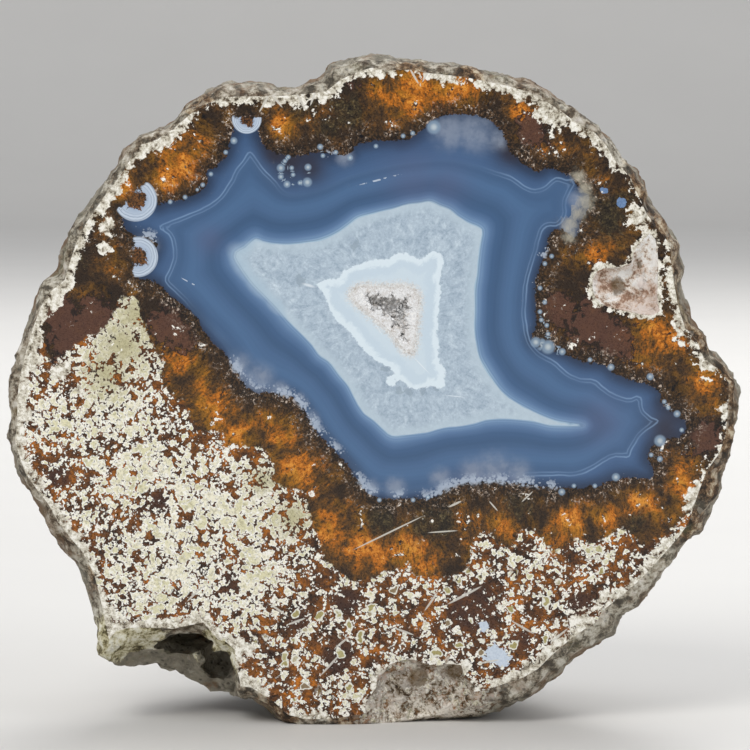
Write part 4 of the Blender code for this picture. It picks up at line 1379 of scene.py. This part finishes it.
def crystal_seats(druse, count, chance):
    """Places on the open side of the crust and its direction there, more of them near the face."""
    shape = bmesh.new()
    shape.from_mesh(druse.data)
    open_faces = [face for face in shape.faces if face.normal.y < OPEN_SIDE]
    rim = (FACE_Y + RIM_DEPTH) * MM
    areas = np.array([face.calc_area() * (RIM_SHARE if face.calc_center_median().y < rim else 1.0)
                      for face in open_faces])
    picks = chance.choice(len(open_faces), count, p=areas / areas.sum())
    seats = [(open_faces[pick].calc_center_median(), open_faces[pick].normal.copy()) for pick in picks]
    shape.free()
    return seats


def add_crystal(grown, seat, normal, sizes, chance):
    """Adds one pointed crystal to a mesh. It is sunk where it would reach through the face."""
    axis = (normal + Vector(chance.normal(0.0, CRYSTAL_LEAN, 3))).normalized()
    radius = sizes.crystal_radius * chance.uniform(*CRYSTAL_SIZES)
    height = sizes.crystal_height * chance.uniform(*CRYSTAL_SIZES)
    start = seat + Vector(chance.normal(0.0, CRYSTAL_SHIFT, 3))
    side = axis.orthogonal().normalized()
    other = axis.cross(side)
    turns = [index * 2 * math.pi / CRYSTAL_SIDES for index in range(CRYSTAL_SIDES)]
    outs = [(side * math.cos(turn) + other * math.sin(turn)) * radius for turn in turns]
    foot = [start + out - axis * height * CRYSTAL_FOOT for out in outs]
    neck = [start + out + axis * height * CRYSTAL_NECK for out in outs]
    point = start + axis * height
    front = min(place.y for place in foot + neck + [point])
    sink = Vector((0.0, max((FACE_Y + CRYSTAL_BEHIND) * MM - front, 0.0), 0.0))
    foot = [grown.verts.new(place + sink) for place in foot]
    neck = [grown.verts.new(place + sink) for place in neck]
    tip = grown.verts.new(point + sink)
    for index in range(CRYSTAL_SIDES):
        after = (index + 1) % CRYSTAL_SIDES
        grown.faces.new((foot[index], foot[after], neck[after], neck[index]))
        grown.faces.new((neck[index], neck[after], tip))
    grown.faces.new(foot[::-1])


class AGATE_OT_druse(bpy.types.Operator):
    """Lines the hollow with small crystals"""
    bl_idname = "agate.druse"
    bl_label = "Crystals"

    def execute(self, context):
        sizes = context.scene.agate_sizes
        druse = copy_of_node("crystal_druse", "crystal_crust")
        meet_wall(druse)
        chance = np.random.default_rng(CRYSTAL_SEED)
        seats = crystal_seats(druse, sizes.crystal_count, chance)
        grown = bmesh.new()
        grown.from_mesh(druse.data)
        for seat, normal in seats:
            add_crystal(grown, seat, normal, sizes, chance)
        grown.to_mesh(druse.data)
        grown.free()
        druse.data.materials.append(crystal_material(context.scene.agate_colours))
        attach(druse, "root")
        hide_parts("crystal_crust")
        return {"FINISHED"}


def add_lamp(name, place, aim, width, power, colour):
    """A soft square lamp that points at a place."""
    bpy.ops.object.light_add(type="AREA", location=place)
    lamp = bpy.context.object
    lamp.name = name
    lamp.data.size = width
    lamp.data.energy = power
    lamp.data.color = colour
    lamp.rotation_euler = (Vector(aim) - Vector(place)).to_track_quat("-Z", "Y").to_euler()


def add_camera():
    """The camera, at the photograph's viewing angle."""
    aim = Vector(CAMERA_AIM) * MM
    place = Vector(CAMERA_PLACE) * MM
    bpy.ops.object.camera_add(location=place)
    camera = bpy.context.object
    camera.name = "photo camera"
    camera.rotation_euler = (aim - place).to_track_quat("-Z", "Y").to_euler()
    camera.data.lens = CAMERA_LENS
    camera.data.sensor_width = CAMERA_SENSOR
    bpy.context.scene.camera = camera


def add_floor(colours):
    """A round floor whose edge curves up into a low wall."""
    bpy.ops.mesh.primitive_circle_add(vertices=FLOOR_SIDES, radius=FLOOR_RADIUS, fill_type="NGON")
    floor = bpy.context.object
    floor.name = "studio_floor"
    bpy.ops.object.mode_set(mode="EDIT")
    bpy.ops.mesh.select_mode(type="EDGE")
    bpy.ops.mesh.select_all(action="SELECT")
    for step in range(1, FLOOR_STEPS + 1):
        turn = math.radians(90) * step / FLOOR_STEPS
        past = math.radians(90) * (step - 1) / FLOOR_STEPS
        wider = (FLOOR_RADIUS + FLOOR_CURVE * math.sin(turn)) / (FLOOR_RADIUS + FLOOR_CURVE * math.sin(past))
        rise = FLOOR_CURVE * (math.cos(past) - math.cos(turn))
        choose_outer_edges()
        bpy.ops.mesh.extrude_edges_move(TRANSFORM_OT_translate={"value": (0.0, 0.0, rise)})
        bpy.ops.transform.resize(value=(wider, wider, 1.0), center_override=(0.0, 0.0, 0.0))
    bpy.ops.object.mode_set(mode="OBJECT")
    bpy.ops.object.shade_smooth()
    floor.data.materials.append(floor_material(colours))
    floor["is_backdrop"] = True


def choose_outer_edges():
    """Selects the open rim of the floor, in edit mode."""
    bpy.ops.mesh.select_all(action="DESELECT")
    bpy.ops.mesh.select_non_manifold(extend=False, use_wire=False, use_boundary=True, use_multi_face=False,
                                     use_non_contiguous=False, use_verts=False)


class AGATE_OT_stage(bpy.types.Operator):
    """Adds the floor, the soft lamps and the camera"""
    bl_idname = "agate.stage"
    bl_label = "Stage"

    def execute(self, context):
        bpy.ops.object.select_all(action="DESELECT")
        add_camera()
        add_floor(context.scene.agate_colours)
        for lamp in LAMPS:
            add_lamp(*lamp)
        world = bpy.data.worlds.new("studio air")
        world.use_nodes = True
        air = world.node_tree.nodes["Background"]
        air.inputs["Color"].default_value = AIR_COLOUR
        air.inputs["Strength"].default_value = AIR_STRENGTH
        context.scene.world = world
        context.scene.view_settings.view_transform = "Standard"
        return {"FINISHED"}


class AGATE_PT_panel(bpy.types.Panel):
    """Lists the steps of the dressing"""
    bl_idname = "AGATE_PT_panel"
    bl_label = "Agate half nodule"
    bl_space_type = "VIEW_3D"
    bl_region_type = "UI"
    bl_category = "Agate"

    def draw(self, context):
        for step in STEPS:
            self.layout.operator(step.bl_idname)
        for group in (context.scene.agate_sizes, context.scene.agate_colours):
            for name in group.__annotations__:
                self.layout.prop(group, name)


STEPS = (AGATE_OT_stone, AGATE_OT_druse, AGATE_OT_stage)
CLASSES = (AgateSizes, AgateColours) + STEPS + (AGATE_PT_panel,)


def register():
    """Adds the classes and the settings."""
    for kind in CLASSES:
        bpy.utils.register_class(kind)
    bpy.types.Scene.agate_sizes = bpy.props.PointerProperty(type=AgateSizes)
    bpy.types.Scene.agate_colours = bpy.props.PointerProperty(type=AgateColours)


def unregister():
    """Takes the classes and the settings away."""
    del bpy.types.Scene.agate_sizes
    del bpy.types.Scene.agate_colours
    for kind in reversed(CLASSES):
        bpy.utils.unregister_class(kind)


def main():
    """Dresses the stone, lines the hollow, sets the stage and measures the boxes of the model and of the
    dressed scene.
    """
    register()
    bpy.ops.agate.stone()
    bpy.ops.agate.druse()
    bpy.ops.agate.stage()
    boxes = {"cad": CAD_BOX, "visual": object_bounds()}
    rows = {name: [list(corner) for corner in box] for name, box in boxes.items()}


if __name__ == "__main__":
    main()
